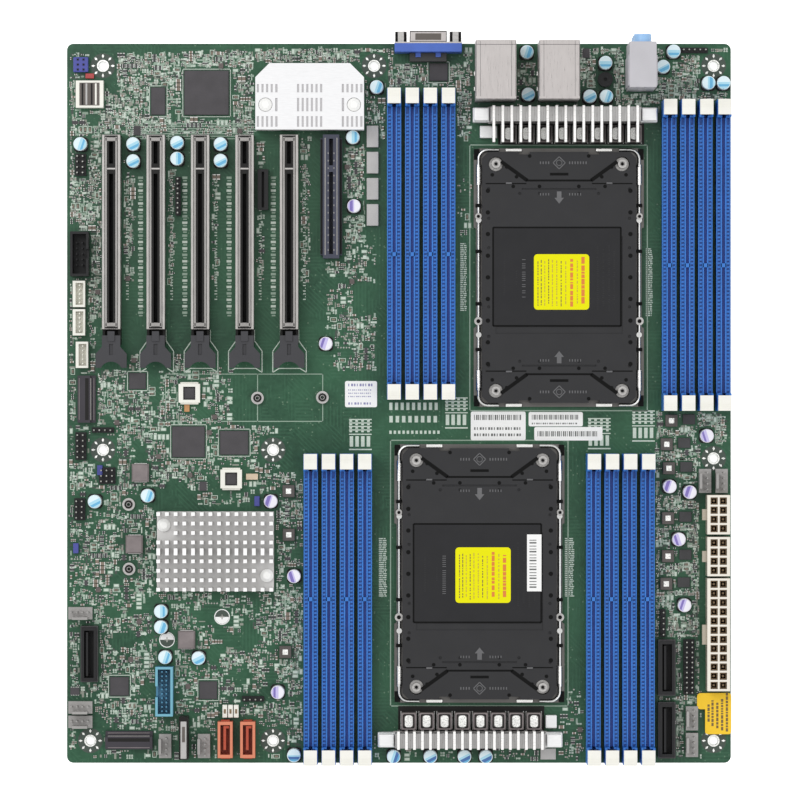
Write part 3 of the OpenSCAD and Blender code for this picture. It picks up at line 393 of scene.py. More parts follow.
# Pale grey for plates in the network sink's slots: painted light.
paper("slot_fill_light", (0.56, 0.55, 0.56))
paper("label_yellow", (0.83, 0.8, 0.001))
paper("label_amber", (0.93, 0.6, 0.04))
ink("print_black", (0.1, 0.1, 0.1), 0.1)
ink("print_violet", (0.25, 0.24, 0.45), 0.1)
ink("print_amber", (0.55, 0.4, 0.02), 0.1)
ink("print_red", (0.72, 0.2, 0.02), 0.1)
ink("print_brown", (0.16, 0.09, 0.02), 0.1)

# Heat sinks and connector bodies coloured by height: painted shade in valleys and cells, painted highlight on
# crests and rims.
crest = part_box("chipset_heat_sink")[1].z / MM
crest_light_valley_shade("sink_pins", (0.56, 0.55, 0.54), (0.93, 0.93, 0.92), crest, 0.36, 0.3)
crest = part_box("network_heat_sink")[1].z / MM
crest_light_valley_shade("sink_white", (0.74, 0.73, 0.74), (0.86, 0.86, 0.87), crest, 0.45, 0.05)
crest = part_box("sata_ports")[1].z / MM
crest_light_valley_shade("cable_orange", (0.42, 0.045, 0.012), (0.68, 0.22, 0.12), crest, 0.42, 0.0)
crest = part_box("front_bus_header")[1].z / MM
crest_light_valley_shade("bus_teal", (0.06, 0.23, 0.38), (0.16, 0.42, 0.54), crest, 0.42, 0.0)
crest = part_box("power_housings")[1].z / MM
crest_light_valley_shade("power_ivory", (0.4, 0.35, 0.27), (0.84, 0.79, 0.7), crest, 0.42, 0.0)
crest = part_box("vrm_heat_sinks")[1].z / MM
crest_light_valley_shade("sink_fins", (0.3, 0.29, 0.28), (0.95, 0.94, 0.92), crest, 0.3, 0.35)


# ---------------------------------------------------------------- pieces
class Piece:
    """Gathers shapes, in millimetres, into one mesh with its own finishes."""

    def __init__(self, name, slot, *finishes, body="board"):
        self.name, self.slot, self.finishes, self.body = name, slot, finishes, body
        self.bm = bmesh.new()

    def finish_of(self, faces, finish):
        for face in faces:
            face.material_index = self.finishes.index(finish)

    def block(self, lo, hi, finish=None, bevel=0.0):
        lo, hi = Vector(lo) * MM, Vector(hi) * MM
        spot = Matrix.Translation((lo + hi) / 2) @ Matrix.Diagonal((*(hi - lo), 1))
        verts = bmesh.ops.create_cube(self.bm, size=1, matrix=spot)["verts"]
        if finish:
            self.finish_of({f for v in verts for f in v.link_faces}, finish)
        if bevel:
            edges = {e for v in verts for e in v.link_edges}
            bmesh.ops.bevel(self.bm, geom=list(edges), offset=bevel * MM, segments=2,
                            affect="EDGES", profile=0.5, material=-1)

    def round(self, spot, radius, height, finish=None, sides=24, top=None, turn=None):
        """An upright cylinder or cone on spot; turn is a matrix that tips it over."""
        place = Matrix.Translation(Vector(spot) * MM)
        place = place @ (turn or Matrix.Identity(4)) @ Matrix.Translation((0, 0, height * MM / 2))
        made = bmesh.ops.create_cone(
            self.bm, cap_ends=True, segments=sides, radius1=radius * MM,
            radius2=(radius if top is None else top) * MM, depth=height * MM, matrix=place)
        if finish:
            self.finish_of({f for v in made["verts"] for f in v.link_faces}, finish)

    def plate(self, outline, z, height, finish=None):
        """A flat plate with the outline given, in millimetres."""
        base = [self.bm.verts.new((x * MM, y * MM, z * MM)) for x, y in outline]
        face = self.bm.faces.new(base)
        made = bmesh.ops.extrude_face_region(self.bm, geom=[face])["geom"]
        lifted = [v for v in made if isinstance(v, bmesh.types.BMVert)]
        bmesh.ops.translate(self.bm, verts=lifted, vec=(0, 0, height * MM))
        faces = {f for v in base + lifted for f in v.link_faces}
        bmesh.ops.recalc_face_normals(self.bm, faces=list(faces))
        if finish:
            self.finish_of(faces, finish)

    def washer(self, x, y, z, inner, outer, height, finish=None, sides=28):
        """A flat ring."""
        rows = [[self.bm.verts.new(((x + radius * math.cos(math.tau * k / sides)) * MM,
                                    (y + radius * math.sin(math.tau * k / sides)) * MM, level * MM))
                 for k in range(sides)]
                for radius, level in ((inner, z), (outer, z), (outer, z + height), (inner,
                                                                                    z + height))]
        faces = [self.bm.faces.new((a[k], a[k - sides + 1], b[k - sides + 1], b[k]))
                 for a, b in zip(rows, rows[1:] + rows[:1]) for k in range(sides)]
        if finish:
            self.finish_of(faces, finish)

    def stamp(self, master, x, y, z, turn=0.0, scale=(1, 1, 1)):
        """Adds a copy of a small master shape; for what repeats hundreds of times."""
        mesh, coords = master
        mesh.transform(Matrix.Translation(Vector((x, y, z)) * MM)
                       @ Matrix.Rotation(turn, 4, "Z") @ Matrix.Diagonal((*scale, 1)))
        self.bm.from_mesh(mesh)
        mesh.vertices.foreach_set("co", coords)

    def master(self):
        """Ends the piece as a master shape for stamp()."""
        mesh = bpy.data.meshes.new(self.name)
        self.bm.to_mesh(mesh)
        self.bm.free()
        coords = [c for v in mesh.vertices for c in v.co]
        return mesh, coords

    def done(self, *replaced, smooth=False):
        mesh = bpy.data.meshes.new(self.name)
        for face in self.bm.faces:
            face.smooth = smooth
        self.bm.to_mesh(mesh)
        self.bm.free()
        made = bpy.data.objects.new(self.name, mesh)
        bpy.context.scene.collection.objects.link(made)
        for finish in self.finishes:
            mesh.materials.append(Finish.made[finish])
        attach(made, self.body)
        if replaced:
            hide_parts(*replaced)
        return made


def dress(node, finish):
    """Gives a CAD node its finish."""
    target = frame["nodes"][node]
    for holder in target.material_slots:
        holder.material = Finish.made[finish]


# ---------------------------------------------------------------- CAD nodes that stay
DRESSED = {
    "circuit_board": "solder_mask", "pcie_slot_bodies": "slot_black",
    "pcie_short_slot": "short_slot_blue", "socket_bases": "socket_black",
    "socket_frames": "frame_steel", "socket_cover_1": "lid_black", "socket_cover_2": "lid_black",
    "frame_wires": "wire_chrome", "frame_studs": "nut_steel", "back_plates": "frame_steel",
    "vrm_screws": "bright_nickel", "power_chokes": "choke_frame",
    "chipset_heat_sink": "sink_pins", "network_heat_sink": "sink_white",
    "heat_sink_push_pins": "pin_white", "chip_packages": "chip_black",
    "port_stack_shells": "port_nickel", "port_stack_inserts": "port_black",
    "audio_stack": "audio_grey", "audio_noses": "nose_blue", "vga_housing": "video_blue",
    "vga_shell": "port_nickel", "vga_jackscrews": "nut_steel",
    "power_housings": "power_ivory", "sata_ports": "cable_orange",
    "front_bus_header": "bus_teal", "drive_sockets": "drive_grey",
    "drive_standoffs": "nut_steel", "cable_sockets": "header_black",
    "cable_socket_shells": "shroud_grey", "fan_headers": "header_grey",
    "signal_headers": "header_white", "pin_headers": "header_black", "box_header": "header_black",
    "firmware_sockets": "header_white", "point_chokes": "core_grey",
    "cool_capacitors": "can_silver", "warm_capacitors": "can_silver", "sounder": "header_black",
    "board_locks": "slot_black"}
for node, finish in DRESSED.items():
    dress(node, finish)
for bank in "abcd":
    for end in ("rear", "front"):
        dress(f"dimm_latches_{bank}_{end}", "latch_ivory")
for number in range(1, 6):
    dress(f"pcie_latch_{number}", "latch_charcoal")


# ---------------------------------------------------------------- memory sockets
def memory_bank(bank):
    """Sockets with a comb of contact windows on both sides of the channel."""
    piece = Piece(f"memory_sockets_{bank}", "dimm", "memory_blue", "memory_ledge_shade",
                  "memory_channel_shade")
    rib = Piece("rib", "dimm", "memory_blue", "memory_ledge_shade", "memory_channel_shade")
    rib.block((-0.62, -0.42, 0), (0.62, 0.42, 0.9), "memory_blue")
    rib = rib.master()
    for lo, hi in solids(f"dimm_sockets_{bank}"):
        x, width, base = (lo.x + hi.x) / 2, (hi.x - lo.x) / 2, lo.z
        tower, deep = 8.0, hi.z - base
        y0, y1 = lo.y + tower, hi.y - tower
        rail = 9.0
        # The body's top, seen between the ribs and strips, is a darker blue: painted shade.
        piece.block((x - width, y0, base), (x + width, y1, base + 7.2), "memory_ledge_shade", 0.25)
        for side in (-1, 1):
            def strip(a, b, z0, z1, finish, bevel=0.0):
                p, q = sorted((x + side * a, x + side * b))
                piece.block((p, y0, base + z0), (q, y1, base + z1), finish, bevel)
            strip(0.7, 1.35, 7.2, rail, "memory_blue", 0.12)
            strip(2.75, width, 7.2, 8.4, "memory_blue", 0.15)
            count = int((y1 - y0 - 2) / 1.7)
            for i in range(count):
                piece.stamp(rib, x + side * 2.05, y0 + 1.6 + i * 1.7, base + 7.2)
        # A darker plate over the middle channel: painted shade in the slot.
        piece.block((x - 0.7, y0, base + 7.1), (x + 0.7, y1, base + 7.3), "memory_channel_shade")
        key = middle((lo, hi)).y + (4.5 if bank in "cd" else -4.5)
        piece.block((x - 1.4, key - 0.9, base + 7), (x + 1.4, key + 0.9, base + rail),
                    "memory_blue")
        for y in (lo.y, hi.y - tower):
            piece.block((x - width, y, base), (x + width, y + tower, base + 1), "memory_blue")
            for side in (-1, 1):
                p, q = sorted((x + side * width, x + side * (width - 1.15)))
                piece.block((p, y, base + 0.5), (q, y + tower, hi.z), "memory_blue", 0.3)
                p, q = sorted((x + side * (width - 0.9), x + side * 0.9))
                near = y + tower - 0.8 if y < 0.5 * (lo.y + hi.y) else y
                piece.block((p, near, base + 1), (q, near + 0.8, base + deep - 2), "memory_blue")
    piece.done(f"dimm_sockets_{bank}")


for bank in "abcd":
    memory_bank(bank)


# ---------------------------------------------------------------- expansion slots
def slot_armour():
    """Folded steel shells over the long slots, with a bridge over the key; the folds take a lighter steel,
    painted highlight.
    """
    piece = Piece("slot_armour", "slot_shell", "slot_steel", "slot_fold_highlight", "slot_black")
    for lo, hi in solids("pcie_slot_shells"):
        x, y0, y1, top = (lo.x + hi.x) / 2, lo.y, hi.y, hi.z
        wide = (hi.x - lo.x) / 2
        for side in (-1, 1):
            def strip(a, b, z0, z1, finish, bevel=0.0, grow=0.0):
                p, q = sorted((x + side * a, x + side * b))
                piece.block((p, y0 + grow, z0), (q, y1 - grow, z1), finish, bevel)
            # Outer flanges in the lighter steel: painted highlight on the fold.
            strip(wide, 2.98, lo.z, top - 0.35, "slot_fold_highlight", 0.2)
            strip(2.9, 1.85, lo.z + 3, top, "slot_steel", 0.22, 1.0)
        for y, into in ((y0, 1), (y1, -1)):
            p, q = sorted((y, y + into * 0.9))
            piece.block((x - wide, p, lo.z), (x + wide, q, top - 0.9), "slot_fold_highlight", 0.18)
            p, q = sorted((y + into * 1.2, y + into * 3.1))
            piece.block((x - wide + 1.4, p, lo.z + 3), (x + wide - 1.4, q, top), "slot_steel", 0.3)
        key = y1 - 15.6
        piece.block((x - 1.9, key - 2.3, top - 0.6), (x + 1.9, key + 2.3, top + 0.02), "slot_black")
        piece.block((x - 1.9, key - 0.35, top - 0.5), (x + 1.9, key + 0.35, top + 0.06),
                    "slot_fold_highlight")
    piece.done("pcie_slot_shells")

    lo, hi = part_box("pcie_short_slot")
    lo, hi = lo / MM, hi / MM
    x = (lo.x + hi.x) / 2
    rails = Piece("short_slot_rails", "slot", "slot_steel", "solder_tin", "slot_black")
    for side in (-1, 1):
        p, q = sorted((x + side * 4.9, x + side * 4.1))
        rails.block((p, lo.y + 2, TOP + 7.4), (q, hi.y - 2, TOP + 8.1), "slot_black", 0.15)
        p, q = sorted((x + side * 2.9, x + side * 2.5))
        rails.block((p, lo.y + 1.5, hi.z - 0.1), (q, hi.y - 1.5, hi.z + 0.05), "slot_steel")
        for i in range(int((hi.y - lo.y - 6) / 3.4)):
            y = lo.y + 3.4 + i * 3.4
            p, q = sorted((x + side * 1.5, x + side * 1.15))
            rails.block((p, y, hi.z - 0.1), (q, y + 0.7, hi.z + 0.04), "slot_steel")
    rails.done()


slot_armour()


# ---------------------------------------------------------------- processor sockets
def socket_lid(number):
    """Marks, ribs and labels on a processor socket's dust cover; its grooves and holes are black plates,
    painted shade.
    """
    node = f"socket_cover_{number}"
    lo, hi = (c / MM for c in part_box(node))
    cx, cy = (lo.x + hi.x) / 2, (lo.y + hi.y) / 2
    half_w, z = (hi.x - lo.x) / 2, hi.z
    piece = Piece(f"lid_details_{number}", "cover", "lid_black", "black_and_groove_shade", "lid_mark",
                  "lid_pocket", body=node)

    def line(x0, y0, x1, y1, width, finish, height=0.12):
        run = Vector((x1 - x0, y1 - y0))
        across = Vector((-run.y, run.x)).normalized() * width / 2
        ends = [Vector((x0, y0)) + across, Vector((x0, y0)) - across,
                Vector((x1, y1)) - across, Vector((x1, y1)) + across]
        piece.plate([(cx + e.x, cy + e.y) for e in ends], z - 0.1, height + 0.1, finish)

    # Grooves laid as flat black lines on the lid: painted shade.
    for s in (-1, 1):
        line(-15, s * 44.3, 15, s * 44.3, 0.9, "black_and_groove_shade", 0.05)
        for side in (-1, 1):
            line(side * 14.6, s * 44.3, side * 26.6, s * 53, 1.7, "black_and_groove_shade", 0.05)
            line(side * 15, s * 42.9, side * 33.6, s * 42.9, 0.55, "black_and_groove_shade", 0.05)
            piece.block((cx + side * 23 - 1.4, cy + s * 43.1 - 0.4, z),
                        (cx + side * 23 + 1.4, cy + s * 43.1 + 0.4, z + 0.5), "lid_mark", 0.2)
        # A black slot: painted shade.
        piece.block((cx - 4.2, cy + s * 47.2 - 0.6, z - 0.1),
                    (cx + 4.2, cy + s * 47.2 + 0.6, z + 0.1), "black_and_groove_shade")
        mark = [(0, 2.8), (2.8, 0), (0, -2.8), (-2.8, 0)]
        for a, b in zip(mark, mark[1:] + mark[:1]):
            line(a[0], s * 52.4 + a[1], b[0], s * 52.4 + b[1], 0.42, "lid_mark")
        for a in range(12):
            p, q = (math.tau * k / 12 for k in (a, a + 1))
            line(1.3 * math.cos(p), s * 52.4 + 1.3 * math.sin(p), 1.3 * math.cos(q),
                 s * 52.4 + 1.3 * math.sin(q), 0.35, "lid_mark")
        for side, count in ((-1, 4), (1, 7)):
            for i in range(count):
                x = side * (4.8 + i * 1.25)
                line(x, s * 52.4 - 0.6, x, s * 52.4 + 0.6, 0.5, "lid_mark", 0.08)
                if i < 5:
                    line(x, s * 38.0 - 0.55, x, s * 38.0 + 0.55, 0.42, "lid_mark", 0.08)
        piece.plate([(cx - 2.2, cy + s * 36.4), (cx, cy + s * 33.7), (cx + 2.2, cy + s * 36.4)],
                    z - 0.1, 0.22, "lid_mark")
        line(0, s * 36.4, 0, s * 39.3, 2.1, "lid_mark")
    # Black lines round the pocket: painted shade at its edges.
    left, right, low, high = -30.2, 28.2, -22.2, 22.8
    for x0, y0, x1, y1 in ((left, low, right, low), (left, high, right, high),
                           (left, low, left, high), (right, low, right, high)):
        line(x0, y0, x1, y1, 0.8, "black_and_groove_shade", 0.04)
    piece.block((cx + left + 0.4, cy + low + 0.4, z - 0.1), (cx + right - 0.4, cy + high - 0.4,
                                                             z + 0.02),
                "lid_pocket")
    # Holes drawn as black discs: painted shade.
    for side in (-1, 1):
        for k in range(-4, 5):
            piece.round((cx + side * (half_w - 2.6), cy + k * 9.9, z - 0.1), 1.0, 0.16,
                        "black_and_groove_shade", 14)
        for x, y in ((24, 50.5), (30.6, 46.9), (13.5, 55.5), (21, 41.6), (9, 41.6), (19.5, 46),
                     (24, -50.5), (30.6, -46.9), (13.5, -55.5), (21, -41.6), (9, -41.6), (19.5,
                                                                                          -46)):
            piece.round((cx + side * x, cy + y, z - 0.1), 0.85, 0.16, "black_and_groove_shade", 12)
    # Rows of small marks moulded beside the label
    for x, reach, fat in ((-16.2, 9.0, 0.8), (-19.5, 3.0, 0.35), (-25.0, 8.0, 0.35), (17.6, 14.5,
                                                                                      0.4),
                          (20.2, 13.0, 0.4), (22.8, 15.0, 0.4), (25.2, 12.0, 0.4)):
        y = -reach
        while y < reach:
            line(x - fat, y, x + fat, y, 0.3, "lid_mark" if fat > 0.5 else "lid_black", 0.07)
            y += 0.95 if dice.random() < 0.8 else 1.9
    piece.done()

    labels = Piece(f"lid_labels_{number}", "cover", "label_yellow", "print_amber", "label_white",
                   "print_black", "print_red", "print_brown", body=node)
    lx, ly = (cx + 1.6, cy - 0.6) if number == 2 else (cx + 1.1, cy - 2.1)
    rounded_label(labels, lx, ly, 25.3, 25.4, z + 0.02, "label_yellow", 1.6)
    # Columns of plain dashes: [x of the column, width, finish, longest dash]
    for x, wide, finish, reach in ((-10.8, 0.4, "print_brown", 1.2), (-9.3, 0.4, "print_brown",
                                                                      1.6),
                                   (-7.7, 0.45, "print_amber", 1.4), (-5.9, 0.4, "print_brown",
                                                                      1.1),
                                   (-4.2, 0.45, "print_amber", 2.0), (-2.2, 0.5, "print_amber",
                                                                      1.3),
                                   (-0.2, 0.4, "print_brown", 1.5), (1.9, 0.5, "print_amber", 1.8),
                                   (4.6, 1.3, "print_red", 2.6), (7.2, 0.5, "print_amber", 1.4),
                                   (9.8, 1.5, "print_red", 3.2)):
        y = ly - 11.3 + dice.uniform(0, 1.5)
        while y < ly + 9.4:
            dash = dice.uniform(0.5, reach)
            labels.block((lx + x - wide / 2, y, z + 0.1), (lx + x + wide / 2, y + dash, z + 0.18),
                         finish)
            y += dash + dice.choice((0.35, 0.35, 0.8))
    if number == 2:
        x, y = cx + 25, cy + 5
        labels.block((x - 3.3, y - 13, z), (x + 3.3, y + 13, z + 0.14), "label_white")
        for i in range(17):
            tall = 0.35 + 0.3 * (i % 3 == 0)
            labels.block((x - 2.2, y - 11.4 + i * 1.35, z + 0.12),
                         (x + 1.0, y - 11.4 + i * 1.35 + tall, z + 0.2), "print_black")
    labels.done()


def rounded_label(piece, x, y, width, depth, z, finish, radius=1.0, height=0.12):
    corners = []
    for sx, sy, start in ((1, 1, 0), (-1, 1, 90), (-1, -1, 180), (1, -1, 270)):
        for step in range(5):
            a = math.radians(start + step * 22.5)
            corners.append((x + sx * (width / 2 - radius) + radius * math.cos(a),
                            y + sy * (depth / 2 - radius) + radius * math.sin(a)))
    piece.plate(corners, z, height, finish)


for number in (1, 2):
    socket_lid(number)


def socket_trim():
    """Clips at the ends of the frames, the loops on the wires and the stud sockets."""
    piece = Piece("socket_trim", "bright_steel", "bright_nickel", "black_and_groove_shade", "frame_steel",
                  "wire_chrome", "nut_steel")
    frames = solids("socket_frames")
    for lo, hi in frames:
        cx, cy, z = (lo.x + hi.x) / 2, (lo.y + hi.y) / 2, hi.z
        for s in (-1, 1):
            for side in (-1, 1):
                piece.block((cx + side * 20.7 - 3.7, cy + s * 58.4 - 0.8, z - 0.05),
                            (cx + side * 20.7 + 3.7, cy + s * 58.4 + 0.8, z + 1.6),
                            "bright_nickel", 0.3)
            for y, r in ((-20, 1.9), (28, 1.5)):
                piece.round((cx + s * 36.9, cy + y, z + 1.0), r, 1.9, "nut_steel", 20)
                # A black disc on each post: painted shade in its hole.
                piece.round((cx + s * 36.9, cy + y, z + 2.5), r * 0.5, 0.45, "black_and_groove_shade", 16)
            for side in (-1, 1):
                spot = (cx + s * 36.7, cy + side * 46.5 - 4, z + 1.3)
                piece.round(spot, 1.25, 8, "bright_nickel", 16, turn=Matrix.Rotation(-math.pi / 2,
                                                                                     4, "X"))
                for y in (12, 33):
                    piece.block((cx + s * 36.9 - 1.3, cy + side * y - 0.8, z),
                                (cx + s * 36.9 + 1.3, cy + side * y + 0.8, z + 2.2), "black_and_groove_shade",
                                0.2)
        for sx in (-1, 1):
            for sy in (-1, 1):
                piece.block((cx + sx * 38.9 - (2.6 if sx > 0 else 0),
                             cy + sy * 59 - (5 if sy > 0 else 0), z),
                            (cx + sx * 38.9 + (0 if sx > 0 else 2.6),
                             cy + sy * 59 + (0 if sy > 0 else 5), z + 0.1),
                            "black_and_groove_shade")
    for lo, hi in solids("frame_studs"):
        x, y = (lo.x + hi.x) / 2, (lo.y + hi.y) / 2
        for k in range(6):
            a = math.tau * k / 6
            piece.round((x + 1.35 * math.cos(a), y + 1.35 * math.sin(a), hi.z - 0.2), 0.4, 0.24,
                        "nut_steel", 8)
        # A black centre in each stud: painted shade in its recess.
        piece.round((x, y, hi.z - 0.2), 0.7, 0.24, "black_and_groove_shade", 12)
    piece.done()


socket_trim()


# ---------------------------------------------------------------- power stages
def power_stages():
    """Finned heat sinks, the chokes' bright tops and a black plate of painted shade round the chokes."""
    piece = Piece("finned_heat_sinks", "alloy", "sink_fins", "cast_alloy", "sink_shelf")
    chokes = solids("power_chokes")
    for lo, hi in solids("vrm_heat_sinks"):
        back = lo.y > 0
        x0, x1, y0, y1 = lo.x, hi.x, lo.y, hi.y
        cy = (y0 + y1) / 2
        near = [c for c in chokes if abs(middle(c).y - cy) < 20]
        reach = min(c[0].y for c in near) if back else max(c[1].y for c in near)
        piece.block((x0 + 7, y0, TOP + 2), (x1 - 7, y1, TOP + 5), "sink_fins", 0.3)
        count = 17 if back else 19
        pitch = (x1 - x0 - 19) / (count - 1)
        for i in range(count):
            x = x0 + 9.5 + i * pitch
            a, b = (reach - 0.4, y1) if back else (y0, y1 + 0.6)
            piece.block((x - 0.62, a, TOP + (7.4 if back else 5)), (x + 0.62, b, hi.z),
                        "sink_fins", 0.15)
            if back:
                piece.block((x - 0.62, y0, TOP + 4.9), (x + 0.62, y1, hi.z - 1), "sink_fins")
        for side in (0, 1):
            x = x0 + 4 if side == 0 else x1 - 4
            piece.block((x - 4, cy - 3.4, TOP), (x + 4, cy + 3.4, TOP + 7), "cast_alloy", 0.5)
            piece.block((x - 3.5, cy - 3.0, TOP + 7), (x + 3.5, cy + 3.0, hi.z - 3.5), "cast_alloy",
                        0.6)
        shelf = hi.z - (1.1 if back else 1.8)
        piece.block((x0 + 8, cy - 3.4, TOP + 5), (x1 - 8, cy + 3.4, shelf), "sink_shelf", 0.2)
        for i in range(count - 1):
            x = x0 + 9.5 + (i + 0.5) * pitch
            piece.block((x - 0.16, cy - 3.4, shelf - 0.1), (x + 0.16, cy + 3.4, shelf + 0.12),
                        "sink_fins")
    piece.done("vrm_heat_sinks")

    caps = Piece("choke_tops", "choke", "bright_tin", "choke_frame", "slot_black", "solder_tin",
                 "core_grey")
    # A black plate round each row of chokes: painted shade between and beside them.
    for near in ([c for c in chokes if c[0].y > 0], [c for c in chokes if c[0].y < 0]):
        caps.block((near[0][0].x - 1.4, min(c[0].y for c in near) - 0.8, TOP),
                   (near[-1][1].x + 1.4, max(c[1].y for c in near) + 2.6, TOP + 0.08), "slot_black")
    for lo, hi in chokes:
        x, y = (lo.x + hi.x) / 2, (lo.y + hi.y) / 2
        rounded_label(caps, x, y, hi.x - lo.x - 0.3, hi.y - lo.y - 0.3, hi.z - 0.02, "core_grey",
                      0.7, 0.05)
        rounded_label(caps, x, y, hi.x - lo.x - 1.5, hi.y - lo.y - 1.5, hi.z + 0.02, "slot_black",
                      0.7, 0.04)
        rounded_label(caps, x, y, hi.x - lo.x - 2.6, hi.y - lo.y - 2.6, hi.z + 0.05, "choke_frame",
                      0.9, 0.04)
        rounded_label(caps, x, y, 3.5, 5.4, hi.z + 0.08, "bright_tin", 1.2, 0.2)
        caps.block((x - 3.7, y - 4.2, TOP), (x - 3.3, y + 4.2, TOP + 0.3), "solder_tin")
        caps.block((x + 3.3, y - 4.2, TOP), (x + 3.7, y + 4.2, TOP + 0.3), "solder_tin")
    for lo, hi in solids("point_chokes"):
        x, y = (lo.x + hi.x) / 2, (lo.y + hi.y) / 2
        if hi.x - lo.x < 7:
            caps.block((lo.x - 0.1, lo.y - 0.1, TOP), (hi.x + 0.1, hi.y + 0.1, hi.z + 0.05),
                       "choke_frame",
                       0.3)
            caps.block((x - 1.2, y - 1.2, hi.z), (x + 1.2, y + 1.2, hi.z + 0.12), "bright_tin",
                       0.04)
        else:
            caps.block((lo.x + 1.0, lo.y - 0.3, TOP), (hi.x - 1.0, hi.y + 0.3, TOP + 0.5),
                       "solder_tin")
    caps.done()


power_stages()


# ---------------------------------------------------------------- connectors
def connector_details():
    piece = Piece("connector_details", "pin_metal", "contact_gold", "slot_black", "bright_nickel",
                  "solder_tin", "chip_brown")
    for lo, hi in solids("power_pins"):
        x, y = (lo.x + hi.x) / 2, (lo.y + hi.y) / 2
        for a, b, c, d in ((-1.5, -1.5, 1.5, -1.15), (-1.5, 1.15, 1.5, 1.5),
                           (-1.5, -1.15, -1.15, 1.15), (1.15, -1.15, 1.5, 1.15)):
            piece.block((x + a, y + b, lo.z), (x + c, y + d, hi.z + 1.6), "contact_gold")
        piece.block((x - 0.55, y - 0.55, lo.z), (x + 0.55, y + 0.55, hi.z + 0.6), "contact_gold",
                    0.15)
    piece.done("power_pins")

    pins = Piece("connector_pins", "bright_steel", "bright_nickel", "solder_tin", "shroud_grey")
    for lo, hi in solids("port_stack_shells"):
        x = (lo.x + hi.x) / 2
        for side in (-1, 1):
            for y in (lo.y + 6, lo.y + 13):
                p, q = sorted((x + side * (hi.x - x + 0.4), x + side * (hi.x - x)))
                pins.block((p, y - 0.9, TOP), (q, y + 0.9, TOP + 4), "bright_nickel")
            for a, b in ((0.35, 0.15), (2.2, 2.05)):
                p, q = sorted((x + side * (hi.x - x - a), x + side * (hi.x - x - b)))
                pins.block((p, lo.y + 1, hi.z - 0.02), (q, hi.y - 0.6, hi.z + 0.02), "shroud_grey")
        pins.block((lo.x + 0.4, hi.y - 2.2, hi.z - 0.02), (hi.x - 0.4, hi.y - 2.0, hi.z + 0.02),
                   "shroud_grey")
    pins.done()


connector_details()


def video_port():
    """The blue flange's body, the D-shaped shell's rolled rims and the posts' edges."""
    lo, hi = (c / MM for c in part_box("vga_shell"))
    x, mouth, crown = (lo.x + hi.x) / 2, hi.y, TOP + 10.2
    flange = lo.y
    piece = Piece("video_flange", "vga_blue", "video_blue", "port_black")
    piece.block((x - 15.4, flange - 4, TOP), (x + 15.4, flange, TOP + 12.4), "video_blue", 0.3)
    piece.block((x - 8.5, flange - 8, TOP), (x + 8.5, flange - 4, TOP + 6), "port_black", 0.2)
    for side in (-1, 1):
        piece.block((x + side * 4.6 - 1.2, flange - 6, TOP + 5), (x + side * 4.6 + 1.2,
                                                                  flange - 3.9, TOP + 7),
                    "video_blue", 0.1)
    piece.block((x - 7.2, flange - 0.2, TOP + 3.2), (x + 7.2, mouth - 1.2, TOP + 9.4), "video_blue")
    piece.done("vga_housing")

    rims = Piece("video_rims", "bright_steel", "header_black", "header_brown")
    for x0, y0, x1, y1 in ((-8.4, 0.7, 8.4, 1.0), (-8.4, mouth - flange - 0.55, 8.4,
                                                   mouth - flange - 0.2),
                           (-8.5, 0.7, -8.15, mouth - flange - 0.2), (8.15, 0.7, 8.5,
                                                                      mouth - flange - 0.2)):
        rims.block((x + x0, flange + y0, crown - 0.02), (x + x1, flange + y1, crown + 0.06),
                   "header_black")
    rims.block((x - 5.9, flange + 1.6, crown - 0.02), (x + 5.9, mouth - 1.2, crown + 0.08),
               "header_brown", 0.03)
    for side in (-1, 1):
        for edge in (-2.55, 2.3):
            rims.block((x + side * 12.5 + edge, flange + 0.8, TOP + 6),
                       (x + side * 12.5 + edge + 0.28, mouth - 0.3, TOP + 8.6),
                       "header_black")
    rims.done()


video_port()


